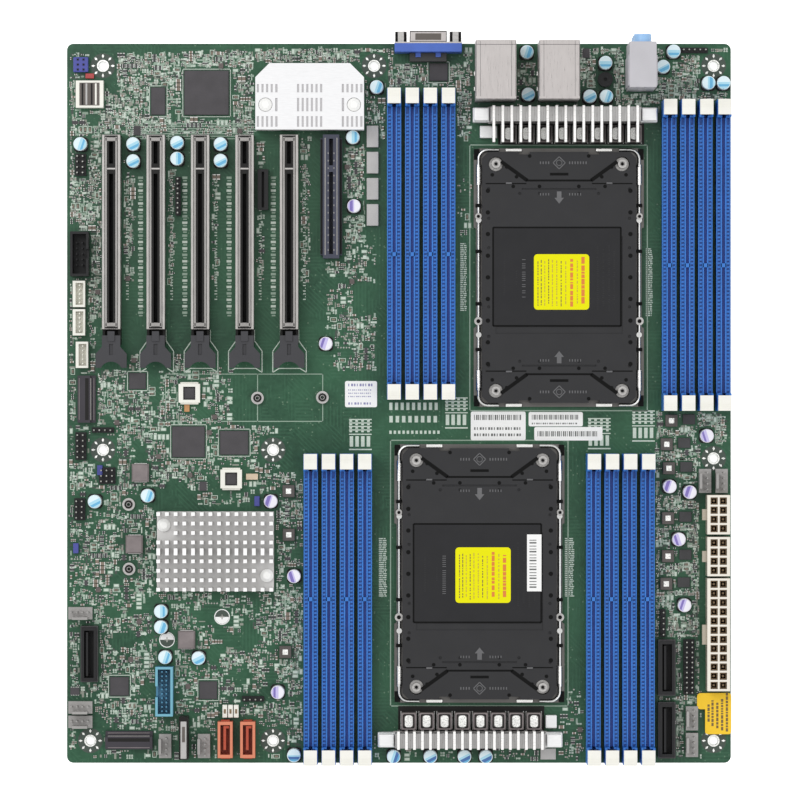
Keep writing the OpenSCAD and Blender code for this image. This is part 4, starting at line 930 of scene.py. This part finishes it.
def loose_parts():
    """Chips, jumpers and blocks the board carries between its named parts."""
    piece = Piece("loose_parts", "package", "resistor_black", "cast_alloy", "slot_black",
                  "header_white",
                  "header_brown", "jumper_blue", "part_red", "part_ochre", "tantalum", "block_grey",
                  "contact_gold", "pin_white")

    def lay(x, y, w, d, h, finish, bevel=0.1, up=0.0):
        """A block by its middle, from the left and rear edges."""
        px, py = at(x, y)
        piece.block((px - w / 2, py - d / 2, TOP + up), (px + w / 2, py + d / 2, TOP + up + h),
                    finish, bevel)
        if h > 0.3 and not up:
            PLACED.append((px - w / 2 - 0.3, py - d / 2 - 0.3, px + w / 2 + 0.3, py + d / 2 + 0.3))

    for lo, hi in solids("point_chokes"):
        if hi.x - lo.x < 7 and lo.x > 0:
            x, y = (lo.x + hi.x) / 2 - LEFT, REAR - (lo.y + hi.y) / 2
            lay(x + 8.1, y - 0.6, 5.6, 4.6, 1.2, "resistor_black")
    lay(193.5, 40.7, 8.0, 5.6, 4.0, "cast_alloy", 0.4)
    lay(222.2, 311.1, 5.2, 6.0, 3.5, "cast_alloy", 0.4)
    lay(220.9, 326.1, 7.0, 5.0, 1.0, "block_grey")
    # The upright port between the two fan headers
    lay(54.0, 318.2, 4.2, 19.6, 11.0, "slot_black", 0.2)
    lay(54.0, 319.0, 2.7, 17.0, 0.5, "block_grey", 0.15, 11.0)
    lay(54.0, 316.4, 1.3, 7.0, 0.2, "header_brown", 0.05, 11.5)
    for k in range(3):
        lay(72.6 + k * 2.6, 306.3, 2.2, 5.8, 4.0, "header_white", 0.2)
        lay(72.6 + k * 2.6, 306.3, 0.9, 2.0, 0.3, "contact_gold", 0.05, 4.0)
    lay(6.5, 9.8, 6.8, 6.8, 3.5, "jumper_blue", 0.3)
    for k in range(3):
        for side in (-1, 1):
            lay(6.5 + side * 1.3, 7.5 + k * 2.3, 0.9, 0.9, 0.3, "slot_black", 0.05, 3.5)
    lay(10.5, 14.9, 3.9, 2.3, 1.8, "part_red", 0.2)
    lay(55.1, 167.3, 2.4, 3.4, 1.6, "part_ochre", 0.2)
    lay(85.0, 198.8, 5.5, 2.8, 2.0, "tantalum", 0.2)
    for x, y in ((4.2, 231.6), (87.3, 210.0), (15.2, 195.8)):
        lay(x, y, 2.4, 4.6, 3.0, "jumper_blue", 0.2)
    for k in range(4):
        lay(140.3, 42.7 + k * 12.0, 5.4, 9.9, 2.4, "block_grey", 0.2)
    # The white socket's brown inside, with its rows of contacts
    lo, hi = max(solids("signal_headers"), key=lambda c: c[1].x - c[0].x)
    x, y = (lo.x + hi.x) / 2 - LEFT, REAR - (lo.y + hi.y) / 2
    up, deep = hi.z - TOP + 0.02, hi.y - lo.y
    if hi.x - lo.x > 9:
        lay(x, y, hi.x - lo.x - 3.4, deep - 2.0, 0.1, "header_brown", 0.02, up)
        for dx, finish in ((-3.2, "slot_black"), (-1.4, "block_grey"), (1.0, "slot_black"), (2.9,
                                                                                             "header_white")):
            lay(x + dx, y, 0.8, deep - 2.6, 0.08, finish, 0.01, up + 0.08)
    piece.done()


PLACED = []
loose_parts()


def small_fittings():
    """Slots in the drive sockets, pins in the black headers and dark wells of painted shade in the standoffs.
    """
    piece = Piece("small_fittings", "package", "slot_black", "core_grey", "slot_steel", "dull_tin",
                  "label_white", "ink_shadow", "slot_fill_light")
    for lo, hi in solids("drive_sockets"):
        x, y = (lo.x + hi.x) / 2, (lo.y + hi.y) / 2
        half = Vector(((hi.x - lo.x) / 2, (hi.y - lo.y) / 2))
        along = half.x > half.y
        run, across = (half.x, half.y) if along else (half.y, half.x)
        for a, b, finish in ((-0.15, 0.25, "slot_black"), (0.45, 0.52, "slot_steel"), (-0.85, -0.78,
                                                                                       "core_grey"),
                             (0.8, 0.86, "core_grey")):
            p, q, r = a * across, b * across, run - 1.2
            spot = ((x - r, y + p, x + r, y + q) if along else (x + p, y - r, x + q, y + r))
            piece.block((spot[0], spot[1], hi.z - 0.02), (spot[2], spot[3], hi.z + 0.03), finish)
    for lo, hi in solids("pin_headers"):
        columns, rows = (max(1, round((c - 0.4) / 2.3)) for c in (hi.x - lo.x, hi.y - lo.y))
        for i in range(columns):
            for j in range(rows):
                x = lo.x + (i + 0.5) * (hi.x - lo.x) / columns
                y = lo.y + (j + 0.5) * (hi.y - lo.y) / rows
                piece.block((x - 0.3, y - 0.3, hi.z - 0.1), (x + 0.3, y + 0.3, hi.z + 0.12),
                            "dull_tin")
    # A black ring in each standoff's top: painted shade in its hole.
    for lo, hi in solids("drive_standoffs"):
        x, y = (lo.x + hi.x) / 2, (lo.y + hi.y) / 2
        piece.washer(x, y, hi.z - 0.02, 1.0, 1.9, 0.05, "slot_black")
    # Places left empty for round capacitors
    for dx, dy, facing in ((71.2, 263.2, -90), (45.9, 273.7, 90)):
        x, y = at(dx, dy)
        piece.washer(x, y, TOP, 3.2, 3.6, 0.04, "label_white")
        for turn, finish in ((0, "label_white"), (180, "ink_shadow")):
            arc = [math.radians(facing + turn + a) for a in range(-90, 91, 15)]
            piece.plate([(x + 3.1 * math.cos(a), y + 3.1 * math.sin(a)) for a in arc], TOP, 0.04,
                        finish)
        piece.block((x - 1.1, y - 0.25, TOP), (x + 1.1, y + 0.25, TOP + 0.06), "dull_tin")
        piece.block((x - 0.25, y - 1.1, TOP), (x + 0.25, y + 1.1, TOP + 0.07), "dull_tin")
        PLACED.append((x - 3.8, y - 3.8, x + 3.8, y + 3.8))
    # Pale plates filling the network chip's sink slots to just under their top: painted light in the deep
    # slots.
    lo, hi = (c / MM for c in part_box("network_heat_sink"))
    x, y = (lo.x + hi.x) / 2, (lo.y + hi.y) / 2
    for dy, deep in ((-11.5, 4.8), (-3.8, 6.1), (3.7, 3.8)):
        spans = ((-24.0, -14.8), (-5.7, 5.7), (14.8, 24.0)) if deep < 6 else ((-15.6, -14.8), (-5.7,
                                                                                               5.7),
                                                                                               (14.8, 15.6))
        for a, b in spans:
            piece.block((x + a, y + dy - deep / 2 - 0.1, hi.z - 3), (x + b, y + dy + deep / 2 + 0.1,
                                                                     hi.z - 0.45),
                        "slot_fill_light")
    piece.done()


small_fittings()


def round_capacitors():
    """Cans on black chamfered feet, their tops printed over one side."""
    for node, slot, pale, tint, strong in (
            ("cool_capacitors", "can_blue", "can_pale", "can_mid", "can_cyan"),
            ("warm_capacitors", "can_violet", "can_lilac", "can_mauve", "can_violet")):
        piece = Piece(f"{node}_made", slot, "slot_black", "can_silver", pale, tint, strong,
                      "can_deep")
        for lo, hi in solids(node):
            x, y, r = (lo.x + hi.x) / 2, (lo.y + hi.y) / 2, (hi.x - lo.x) / 2
            cut = r - 1.0
            piece.plate([(x - cut, y - r), (x + cut, y - r), (x + r, y - cut), (x + r, y + cut),
                         (x + cut, y + r), (x - cut, y + r), (x - r, y + cut), (x - r, y - cut)],
                        lo.z, 0.9, "slot_black")
            piece.round((x, y, lo.z + 0.8), r - 0.2, hi.z - lo.z - 1.15, "can_silver", 28)
            piece.round((x, y, hi.z - 0.36), r - 0.2, 0.33, pale, 28, top=r - 0.5)
            low = y < FRONT + 9
            facing = dice.choice((-0.5, -0.35, -0.1, 0.0) if node[0] == "c" else (1.0, 0.9,
                                                                                  -0.9)) * math.pi
            reach = r - 0.56
            for step, (spread, ink_of) in enumerate(((98, tint), (76,
                                                                  "can_deep" if low else strong),
                                                     (46, tint if not low else strong))):
                half = math.radians(spread + dice.uniform(-6, 6))
                outline = [(x + reach * math.cos(facing + half * k / 8),
                            y + reach * math.sin(facing + half * k / 8)) for k in range(-8, 9)]
                piece.plate(outline, hi.z - 0.06, 0.06 + 0.02 * step, ink_of)
        piece.done(node)


round_capacitors()

# ---------------------------------------------------------------- board surface
TALL = []
for node in frame["nodes"]:
    if node == "circuit_board":
        continue
    for lo, hi in solids(node):
        if hi.z > TOP + 0.2:
            TALL.append((lo.x - 0.35, lo.y - 0.35, hi.x + 0.35, hi.y + 0.35))
for mount in frame["record"]["mounts"]:
    if mount["kind"] in ("bore", "bolt_pattern") and abs(mount["axis"][2]) > 0.9:
        px, py = mount["pos_m"][0] / MM, mount["pos_m"][1] / MM
        half = mount["dims"].get("spacing_x_mm", 0) / 2
        if mount["dims"].get("stud_r_mm"):
            continue
        for x in {px - half, px + half}:
            TALL.append((x - 6, py - 6, x + 6, py + 6))
HOLES = [((a + c) / 2, (b + d) / 2) for a, b, c, d in TALL if (round(c - a, 3), round(d - b,
                                                                                      3)) == (12,
                                                                                              12)]


TALL += PLACED


class Ground:
    """The board's free ground, on a grid of half millimetres."""

    def __init__(self):
        self.used = set()
        for a, b, c, d in TALL:
            self.take((a + c) / 2, (b + d) / 2, (c - a) / 2, (d - b) / 2)
        self.firm = set(self.used)

    def clear(self, x, y, w, d):
        """Whether no named part stands there."""
        return self.firm.isdisjoint(self.spots(x, y, w, d)) and (
            LEFT + 0.8 < x - w and x + w < RIGHT - 0.8 and FRONT + 0.8 < y - d and y + d < REAR - 0.8)

    def spots(self, x, y, w, d):
        return [(i, j) for i in range(math.floor((x - w) * 2), math.floor((x + w) * 2) + 1)
                for j in range(math.floor((y - d) * 2), math.floor((y + d) * 2) + 1)]

    def take(self, x, y, w, d):
        self.used.update(self.spots(x, y, w, d))

    def free(self, x, y, w, d):
        if x - w < LEFT + 0.8 or x + w > RIGHT - 0.8 or y - d < FRONT + 0.8 or y + d > REAR - 0.8:
            return False
        return self.used.isdisjoint(self.spots(x, y, w, d))


# Printed marks: areas filled up to BARE_FILL have none, denser ones this many for each square millimetre
BARE_FILL = 0.9
MARKS_PER_MM2 = 0.42
# Finishes of the small board parts
SURFACE = ("solder_tin", "ceramic_tan", "resistor_black", "chip_black", "ink_white", "dull_tin",
           "ferrite", "ink_pale", "ink_shadow", "ink_grey")


def surface_masters():
    """Small board parts, all lying along X: [shape, half length, half width, pitch in a row]."""
    def two_ended(name, length, width, height, body, end):
        part = Piece(name, "package", *SURFACE)
        part.block((-length + end, -width, 0), (length - end, width, height), body)
        for s in (-1, 1):
            p, q = sorted((s * (length - end), s * length))
            part.block((p, -width, 0), (q, width, height + 0.02), "solder_tin")
        return part

    def legged(name, half_x, half_y, height, legs, body="chip_black"):
        part = Piece(name, "package", *SURFACE)
        part.block((-half_x, -half_y, 0.05), (half_x, half_y, height), body)
        for s in (-1, 1):
            for k in range(legs):
                y = (k - (legs - 1) / 2) * 2 * half_y / legs
                p, q = sorted((s * half_x, s * (half_x + 0.45)))
                part.block((p, y - 0.17, 0), (q, y + 0.17, 0.25), "solder_tin")
        return part

    network = Piece("network", "package", *SURFACE)
    network.block((-1.0, -0.45, 0), (1.0, 0.45, 0.4), "resistor_black")
    for k in range(4):
        for s in (-1, 1):
            p, q = sorted((s * 0.45, s * 0.75))
            network.block((-0.9 + k * 0.5, p, 0), (-0.62 + k * 0.5, q, 0.3), "solder_tin")
    lettering = Piece("lettering", "package", *SURFACE)
    for k, (wide, tall) in enumerate(((0.34, 0.8), (0.3, 0.6), (0.42, 0.8), (0.3, 0.8))):
        lettering.block((-1.0 + k * 0.52, -tall / 2, 0), (-1.0 + k * 0.52 + wide, tall / 2, 0.03),
                        "ink_white")
    patch = Piece("patch", "package", *SURFACE)
    patch.block((-1.3, -0.75, 0), (1.3, 0.75, 0.03), "ink_pale")
    patch.block((-1.0, -0.5, 0.02), (1.0, 0.5, 0.05), "ink_white")
    border = Piece("border", "package", *SURFACE)
    for x0, y0, x1, y1 in ((-1.5, -0.95, 1.5, -0.7), (-1.5, 0.7, 1.5, 0.95), (-1.5, -0.7, -1.25,
                                                                              0.7),
                           (1.25, -0.7, 1.5, 0.7)):
        border.block((x0, y0, 0), (x1, y1, 0.03), "ink_white")
    border.block((-0.8, -0.35, 0), (0.8, 0.35, 0.5), "ceramic_tan")
    pad = Piece("pad", "package", *SURFACE)
    pad.round((0, 0, 0), 0.4, 0.05, "dull_tin", 8)
    return {
        "small": (two_ended("small", 0.55, 0.28, 0.5, "ceramic_tan", 0.22), 0.55, 0.3, 0.85),
        "medium": (two_ended("medium", 0.85, 0.45, 0.8, "ceramic_tan", 0.3), 0.85, 0.45, 1.25),
        "large": (two_ended("large", 1.2, 0.75, 1.1, "ceramic_tan", 0.38), 1.2, 0.75, 1.9),
        "resistor": (two_ended("resistor", 0.55, 0.28, 0.32, "resistor_black", 0.2), 0.55, 0.3,
                     0.85),
        "strip": (two_ended("strip", 0.9, 0.45, 0.4, "resistor_black", 0.26), 0.9, 0.45, 1.25),
        "network": (network, 1.0, 0.75, 1.9),
        "lettering": (lettering, 1.05, 0.4, 1.1),
        "pad": (pad, 0.4, 0.4, 1.3),
        "patch": (patch, 1.3, 0.75, 1.9),
        "border": (border, 1.5, 0.95, 2.1),
        "coil": (legged("coil", 1.1, 1.1, 1.3, 1, "ferrite"), 1.3, 1.1, 2.6),
        "chip3": (legged("chip3", 0.7, 1.3, 0.9, 2), 1.15, 1.3, 3.2),
        "chip8": (legged("chip8", 1.6, 2.1, 1.0, 5), 2.05, 2.1, 5.2),
        "square": (legged("square", 1.9, 1.9, 0.8, 6), 2.3, 1.9, 5.0)}


MASTERS = {name: (part.master(), *sizes) for name, (part, *sizes) in surface_masters().items()}
# How often a row of each part comes up, and how many a row holds
ROWS = (("small", 20, 6), ("medium", 9, 4), ("large", 5, 3), ("resistor", 16, 6), ("strip", 7, 4),
        ("network", 4, 4), ("lettering", 26, 3), ("pad", 6, 5), ("coil", 2, 1), ("chip3", 4, 2),
        ("chip8", 2, 1), ("square", 1, 1), ("patch", 9, 4), ("border", 7, 4))
ground = Ground()


def populate(piece, x0, y0, x1, y1, fill=0.8, bare=0.25):
    """Rows of small parts over an area given from the left and rear edges, with bare patches."""
    ax, ay = at(x0, y1)
    bx, by = at(x1, y0)
    for _ in range(int(max(0.0, fill - BARE_FILL) * (bx - ax) * (by - ay) * MARKS_PER_MM2)):
        x, y = dice.uniform(ax + 0.6, bx - 0.6), dice.uniform(ay + 0.6, by - 0.6)
        w, d = dice.uniform(0.3, 1.5), dice.uniform(0.2, 0.55)
        if dice.random() < 0.5:
            w, d = d, w
        if noise.noise(Vector((x / 9, y / 9, 3.3))) > 0.55 - bare or not ground.clear(x, y, w, d):
            continue
        z = TOP + dice.uniform(0.004, 0.03)
        piece.block((x - w, y - d, z - 0.02), (x + w, y + d, z),
                    dice.choice(("ink_pale", "ink_pale", "ink_pale", "ink_white", "ink_grey",
                                 "ink_grey", "ink_shadow", "ink_shadow")))
    names, odds = [r[0] for r in ROWS], [r[1] for r in ROWS]
    longest = {r[0]: r[2] for r in ROWS}
    for _ in range(int(fill * (bx - ax) * (by - ay) / 2.2)):
        x, y = dice.uniform(ax + 0.6, bx - 0.6), dice.uniform(ay + 0.6, by - 0.6)
        if noise.noise(Vector((x / 9, y / 9, 3.3))) > 0.55 - bare:
            continue
        name = dice.choices(names, odds)[0]
        master, half_x, half_y, pitch = MASTERS[name]
        upright = dice.random() < 0.5
        if upright:
            half_x, half_y = half_y, half_x
        # A row runs across its parts' length; lettering is stacked line under line
        step = (pitch, 0) if upright else (0, -pitch)
        for k in range(dice.randint(1, longest[name])):
            px, py = x + step[0] * k, y + step[1] * k
            if px > bx or py < ay or not ground.free(px, py, half_x, half_y):
                break
            piece.stamp(master, px, py, TOP, math.pi / 2 if upright else 0)
            ground.take(px, py, half_x, half_y)


AREAS = {
    "rear_left": [(1, 4, 52, 44, 2.6, 0), (52, 3, 86, 11, 2.6, 0), (52, 11, 54, 34, 1.5, 0),
                  (76, 11, 86, 42, 2.2, 0), (52, 34, 86, 44, 1.6, 0.1), (86, 2, 136, 9, 2.6, 0)],
    "rear_right": [(128, 10, 150, 44, 2.0, 0.05), (136, 2, 190, 20, 2.4, 0),
                   (177, 20, 186, 44, 2.0, 0.05), (205, 1, 216, 30, 2.0, 0),
                   (224, 2, 304, 32, 2.6, 0)],
    "left_edge": [(1, 44, 17, 140, 2.4, 0), (25, 44, 31, 110, 1.6, 0.1), (46, 55, 50, 110, 1.2,
                                                                          0.15),
                  (66, 60, 70, 110, 1.2, 0.15), (86, 44, 91, 110, 1.4, 0.1), (107, 42, 112, 110,
                                                                              1.3, 0.1)],
    "middle": [(127, 44, 137.4, 92, 2.4, 0), (119, 92, 142, 110, 1.6, 0.15), (119, 110, 132, 132,
                                                                              1.2, 0.25),
               (122, 124, 142, 150, 1.5, 0.15), (176, 62, 190, 92, 0.6, 0.3)],
    "left_middle": [(1, 142, 60, 205, 1.8, 0.12), (60, 148, 76, 175, 1.3, 0.2),
                    (60, 175, 98, 212, 1.2, 0.2), (1, 205, 41, 250, 1.5, 0.22),
                    (95, 196, 109, 300, 1.6, 0.12)],
    "front_left": [(1, 250, 109, 300, 1.5, 0.3), (1, 300, 109, 328, 1.5, 0.22)],
    "right_edge": [(270, 168, 303, 200, 2.9, 0), (270, 200, 292, 286, 2.9, 0), (270, 286, 292, 328,
                                                                                2.2, 0)],
    "front_strip": [(140, 318, 250, 329, 1.0, 0.1), (226, 296, 240, 318, 1.0, 0.1)],
}
for name, areas in AREAS.items():
    piece = Piece(f"small_parts_{name}", "package", *SURFACE)
    for x0, y0, x1, y1, fill, bare in areas:
        populate(piece, x0, y0, x1, y1, fill, bare)
    piece.done()


def screen_print():
    """Outlines, part rows and tables printed on the board, and the tinned screw pads."""
    piece = Piece("screen_print", "board", "ink_white", "ink_pale")

    def bar(x0, y0, x1, y1, finish="ink_white"):
        ax, ay = at(min(x0, x1), max(y0, y1))
        bx, by = at(max(x0, x1), min(y0, y1))
        piece.block((ax, ay, TOP - 0.01), (bx, by, TOP + 0.03), finish)

    def frame_lines(x0, y0, x1, y1, w=0.4, finish="ink_pale"):
        bar(x0, y0, x1, y0 + w, finish)
        bar(x0, y1 - w, x1, y1, finish)
        bar(x0, y0, x0 + w, y1, finish)
        bar(x1 - w, y0, x1, y1, finish)

    def stroke(points, w=0.45):
        places = [Vector(at(*point)) for point in points]
        for a, b in zip(places, places[1:]):
            side = (b - a).normalized().orthogonal() * w / 2
            corners = [a - side, b - side, b + side, a + side]
            turn = (corners[1] - corners[0]).cross(corners[2] - corners[1])
            piece.plate([tuple(c) for c in (corners if turn > 0 else corners[::-1])], TOP - 0.01,
                        0.04, "ink_white")

    frame_lines(45, 151.5, 117.6, 173.6)
    bar(87.3, 151.5, 87.7, 173.6, "ink_pale")
    for p, w in (("socket_frames", 2.0),):
        for lo, hi in solids(p):
            frame_lines(lo.x - LEFT - w, REAR - hi.y - w, hi.x - LEFT + w, REAR - lo.y + w, 0.5)
    for lo, hi in solids("chip_packages"):
        if hi.x - lo.x > 6:
            frame_lines(lo.x - LEFT - 0.9, REAR - hi.y - 0.9, hi.x - LEFT + 0.9, REAR - lo.y + 0.9,
                        0.35, "ink_white")
    for index, (lo, hi) in enumerate(sorted(solids("pcie_slot_shells"), key=lambda s: s[0].x)):
        x = (lo.x + hi.x) / 2 - LEFT
        end = REAR - lo.y
        if index:
            for sx in (-1, 1):
                stroke([(x + sx * a, end + b) for a, b in ((4.2, 0), (4.2, 5), (7.7, 9.9), (7.7,
                                                                                            19.6),
                                                                                            (4.8,
                                                                                             17.8))])
            if index > 1:
                bar(x - 4.8, end + 17.6, x + 4.8, end + 18.0)
        for row in range(22):
            y = 61 + row * 2.95
            if index:
                bar(x - 8.6, y, x - 6.3, y + 1.1, "ink_white" if row % 3 else "ink_pale")
                bar(x - 8.2, y + 1.6, x - 6.5, y + 2.2, "ink_pale")
        for row in range(18):
            y = 61 + row * 3.83
            if y < 118:
                for k in range(3):
                    bar(x + 6.2 + 0.9 * (k % 2), y + k * 1.25, x + 7.4, y + k * 1.25 + 0.5)
    for x, y in ((134.7, 179.6), (178.8, 169.7), (244.4, 179.2), (264.7, 175.7)):
        for row in range(4):
            bar(x - 5.2, y - 7.3 + row * 1.6, x + 5.2, y - 7.3 + row * 1.6 + 0.5)
            for c in range(4):
                bar(x - 5 + c * 2.7, y - 6.9 + row * 1.6, x - 3.8 + c * 2.7,
                    y - 6.9 + row * 1.6 + 0.9)
        bar(x - 5.2, y - 0.5, x + 5.2, y)
        for c in range(4):
            bar(x - 4.9 + c * 2.6, y + 0.6, x - 3.3 + c * 2.6, y + 5.4)
        bar(x - 5.2, y + 6.4, x + 5.2, y + 7.0)
    for x, y, count, pitch, tall in ((148, 166.5, 9, 2.6, 3.4), (148, 172.4, 8, 2.9, 3.0),
                                     (148, 178.4, 12, 2.0, 1.5)):
        for c in range(count):
            bar(x + c * pitch, y - tall / 2, x + c * pitch + pitch * 0.55, y + tall / 2)
    for x, y, wide, deep in ((143.2, 227, 3.8, 28), (228.6, 227, 4.4, 28), (180.6, 91.6, 3.0, 32),
                             (265.8, 94, 3.2, 31.6)):
        for k in range(int(deep / 0.85)):
            split = wide * dice.uniform(0.3, 0.7)
            bar(x, y + k * 0.85, x + split, y + k * 0.85 + 0.45)
            bar(x + split + 0.35, y + k * 0.85, x + wide * dice.uniform(0.8, 1),
                y + k * 0.85 + 0.45)
    for k in range(7):
        y = 36.5 + k * 1.15
        bar(25 + k * 1.3, y, 90 - k, y + 0.45, "ink_pale")
    piece.done()

    pads = Piece("screw_pads", "board", "bright_tin", "ink_shadow")
    for x, y in HOLES:
        pads.washer(x, y, TOP, 2.06, 2.75, 0.06, "bright_tin", 36)
        pads.washer(x, y, TOP - 0.005, 2.75, 5.7, 0.02, "ink_shadow", 36)
        for k in range(8):
            a = math.tau * k / 8
            petal = [(4.45 + 0.95 * u, 0.55 * v) for u, v in ((1, 0), (0.1, 1), (-1, 0), (0.1, -1))]
            pads.plate([(x + u * math.cos(a) - v * math.sin(a),
                         y + u * math.sin(a) + v * math.cos(a))
                        for u, v in petal], TOP, 0.07, "bright_tin")
    pads.done()


screen_print()


def labels_on_board():
    piece = Piece("board_labels", "board", "label_white", "print_black", "print_violet",
                  "label_amber", "print_brown")

    def label(x, y, w, d, bars, finish="print_black", under="label_white"):
        rounded_label(piece, x, y, w, d, TOP + 0.02, under, 0.8)
        for k, (row, tall, pitch) in enumerate(bars):
            count = int((w - 3) / pitch)
            for i in range(count):
                wide = pitch * (0.35 + 0.35 * ((i * 5 + k) % 3) / 2)
                a = x - w / 2 + 1.5 + i * pitch
                piece.block((a, y + row - tall / 2, TOP + 0.12), (a + wide, y + row + tall / 2,
                                                                  TOP + 0.17),
                            finish)

    label(45.6, -10.4, 25.2, 13.2, ((3.9, 2.4, 0.95), (-1.2, 1.2, 1.3), (-4.1, 1.2, 1.3)))
    label(72.0, -7.3, 24.9, 6.6, ((0.9, 2.2, 0.8), (-2.0, 0.7, 1.0)))
    label(77.8, -14.0, 31.3, 6.2, ((0.0, 2.4, 0.9),))
    label(-17.4, 4.2, 14.7, 12.0, ((4.2, 1.2, 1.3), (1.9, 0.5, 0.9), (0.4, 0.5, 0.9),
                                   (-1.1, 0.5, 0.9), (-4.3, 1.0, 1.4)), "print_violet")
    rounded_label(piece, 146.4, -142.3, 12, 18.9, TOP + 3.0, "label_amber", 1.2)
    rounded_label(piece, 140.4, -136.6, 7.4, 7.4, TOP + 3.01, "label_amber", 1.6)
    piece.block((141.5, -151, TOP + 0.3), (151.5, -134, TOP + 3.0), "label_amber")
    for x, y0, y1 in ((150.4, -150.5, -134), (148.2, -150, -135.5), (146.0, -149, -137),
                      (143.8, -148, -136.5), (142.0, -146, -138)):
        y = y0
        while y < y1:
            dash = dice.uniform(0.6, 1.7)
            piece.block((x - 0.5, y, TOP + 3.1), (x + 0.5, y + dash, TOP + 3.18), "print_brown")
            y += dash + 0.4
    piece.done()


labels_on_board()

# ---------------------------------------------------------------- stage, light and camera
floor_z = cad_box[0].z


def stage():
    bm = bmesh.new()
    bmesh.ops.create_grid(bm, x_segments=1, y_segments=1, size=6)
    mesh = bpy.data.meshes.new("floor")
    bm.to_mesh(mesh)
    bm.free()
    floor = bpy.data.objects.new("floor", mesh)
    floor.location.z = floor_z
    bpy.context.scene.collection.objects.link(floor)
    white = Finish("floor_white", (0.8, 0.8, 0.8), 0.9)
    path = white.tree.nodes.new("ShaderNodeLightPath")
    seen = Value(white, path.outputs["Is Camera Ray"]).most(
        Value(white, path.outputs["Is Glossy Ray"])).most(
        Value(white, path.outputs["Is Transmission Ray"]))
    white.set("Base Color", white.mix(seen, (0.8, 0.8, 0.8), (0.9, 0.9, 0.9)))
    white.set("Emission Color", white.mix(seen, (0.0, 0.0, 0.0), (1.0, 1.0, 1.0)))
    white.set("Emission Strength", 0.8)
    mesh.materials.append(white.material)

    world = bpy.data.worlds.new("studio")
    bpy.context.scene.world = world
    world.use_nodes = True
    tree = world.node_tree
    back = tree.nodes["Background"]
    back.inputs["Color"].default_value = (1, 1, 1, 1)
    path = tree.nodes.new("ShaderNodeLightPath")
    pick = tree.nodes.new("ShaderNodeMath")
    pick.operation = "MAXIMUM"
    tree.links.new(path.outputs["Is Camera Ray"], pick.inputs[0])
    tree.links.new(path.outputs["Is Glossy Ray"], pick.inputs[1])
    level = tree.nodes.new("ShaderNodeMapRange")
    level.inputs[3].default_value, level.inputs[4].default_value = 0.72, 1.0
    tree.links.new(pick.outputs[0], level.inputs[0])
    tree.links.new(level.outputs[0], back.inputs["Strength"])

    for name, spot, size, power in (("key", (-0.7, 0.6, 1.5), 0.9, 9.0),
                                    ("fill", (0.9, -0.4, 1.4), 1.2, 5.0)):
        lamp = bpy.data.lights.new(name, "AREA")
        lamp.size, lamp.energy = size, power
        holder = bpy.data.objects.new(name, lamp)
        holder.location = spot
        holder.rotation_euler = (-Vector(spot)).to_track_quat("-Z", "Y").to_euler()
        bpy.context.scene.collection.objects.link(holder)


# The camera looks straight down: sensor and focal length in millimetres, height in metres
SENSOR = 36.0
FOCAL = 215.6
CAMERA_HEIGHT = 2.2


def camera():
    lens = bpy.data.cameras.new("camera")
    lens.sensor_width, lens.lens = SENSOR, FOCAL
    holder = bpy.data.objects.new("camera", lens)
    holder.location = (0.5 * MM, 1.5 * MM, TOP * MM + CAMERA_HEIGHT)
    bpy.context.scene.collection.objects.link(holder)
    bpy.context.scene.camera = holder
    lens.clip_start, lens.clip_end = 0.05, 20


stage()
camera()
bpy.context.scene.view_settings.view_transform = "Standard"
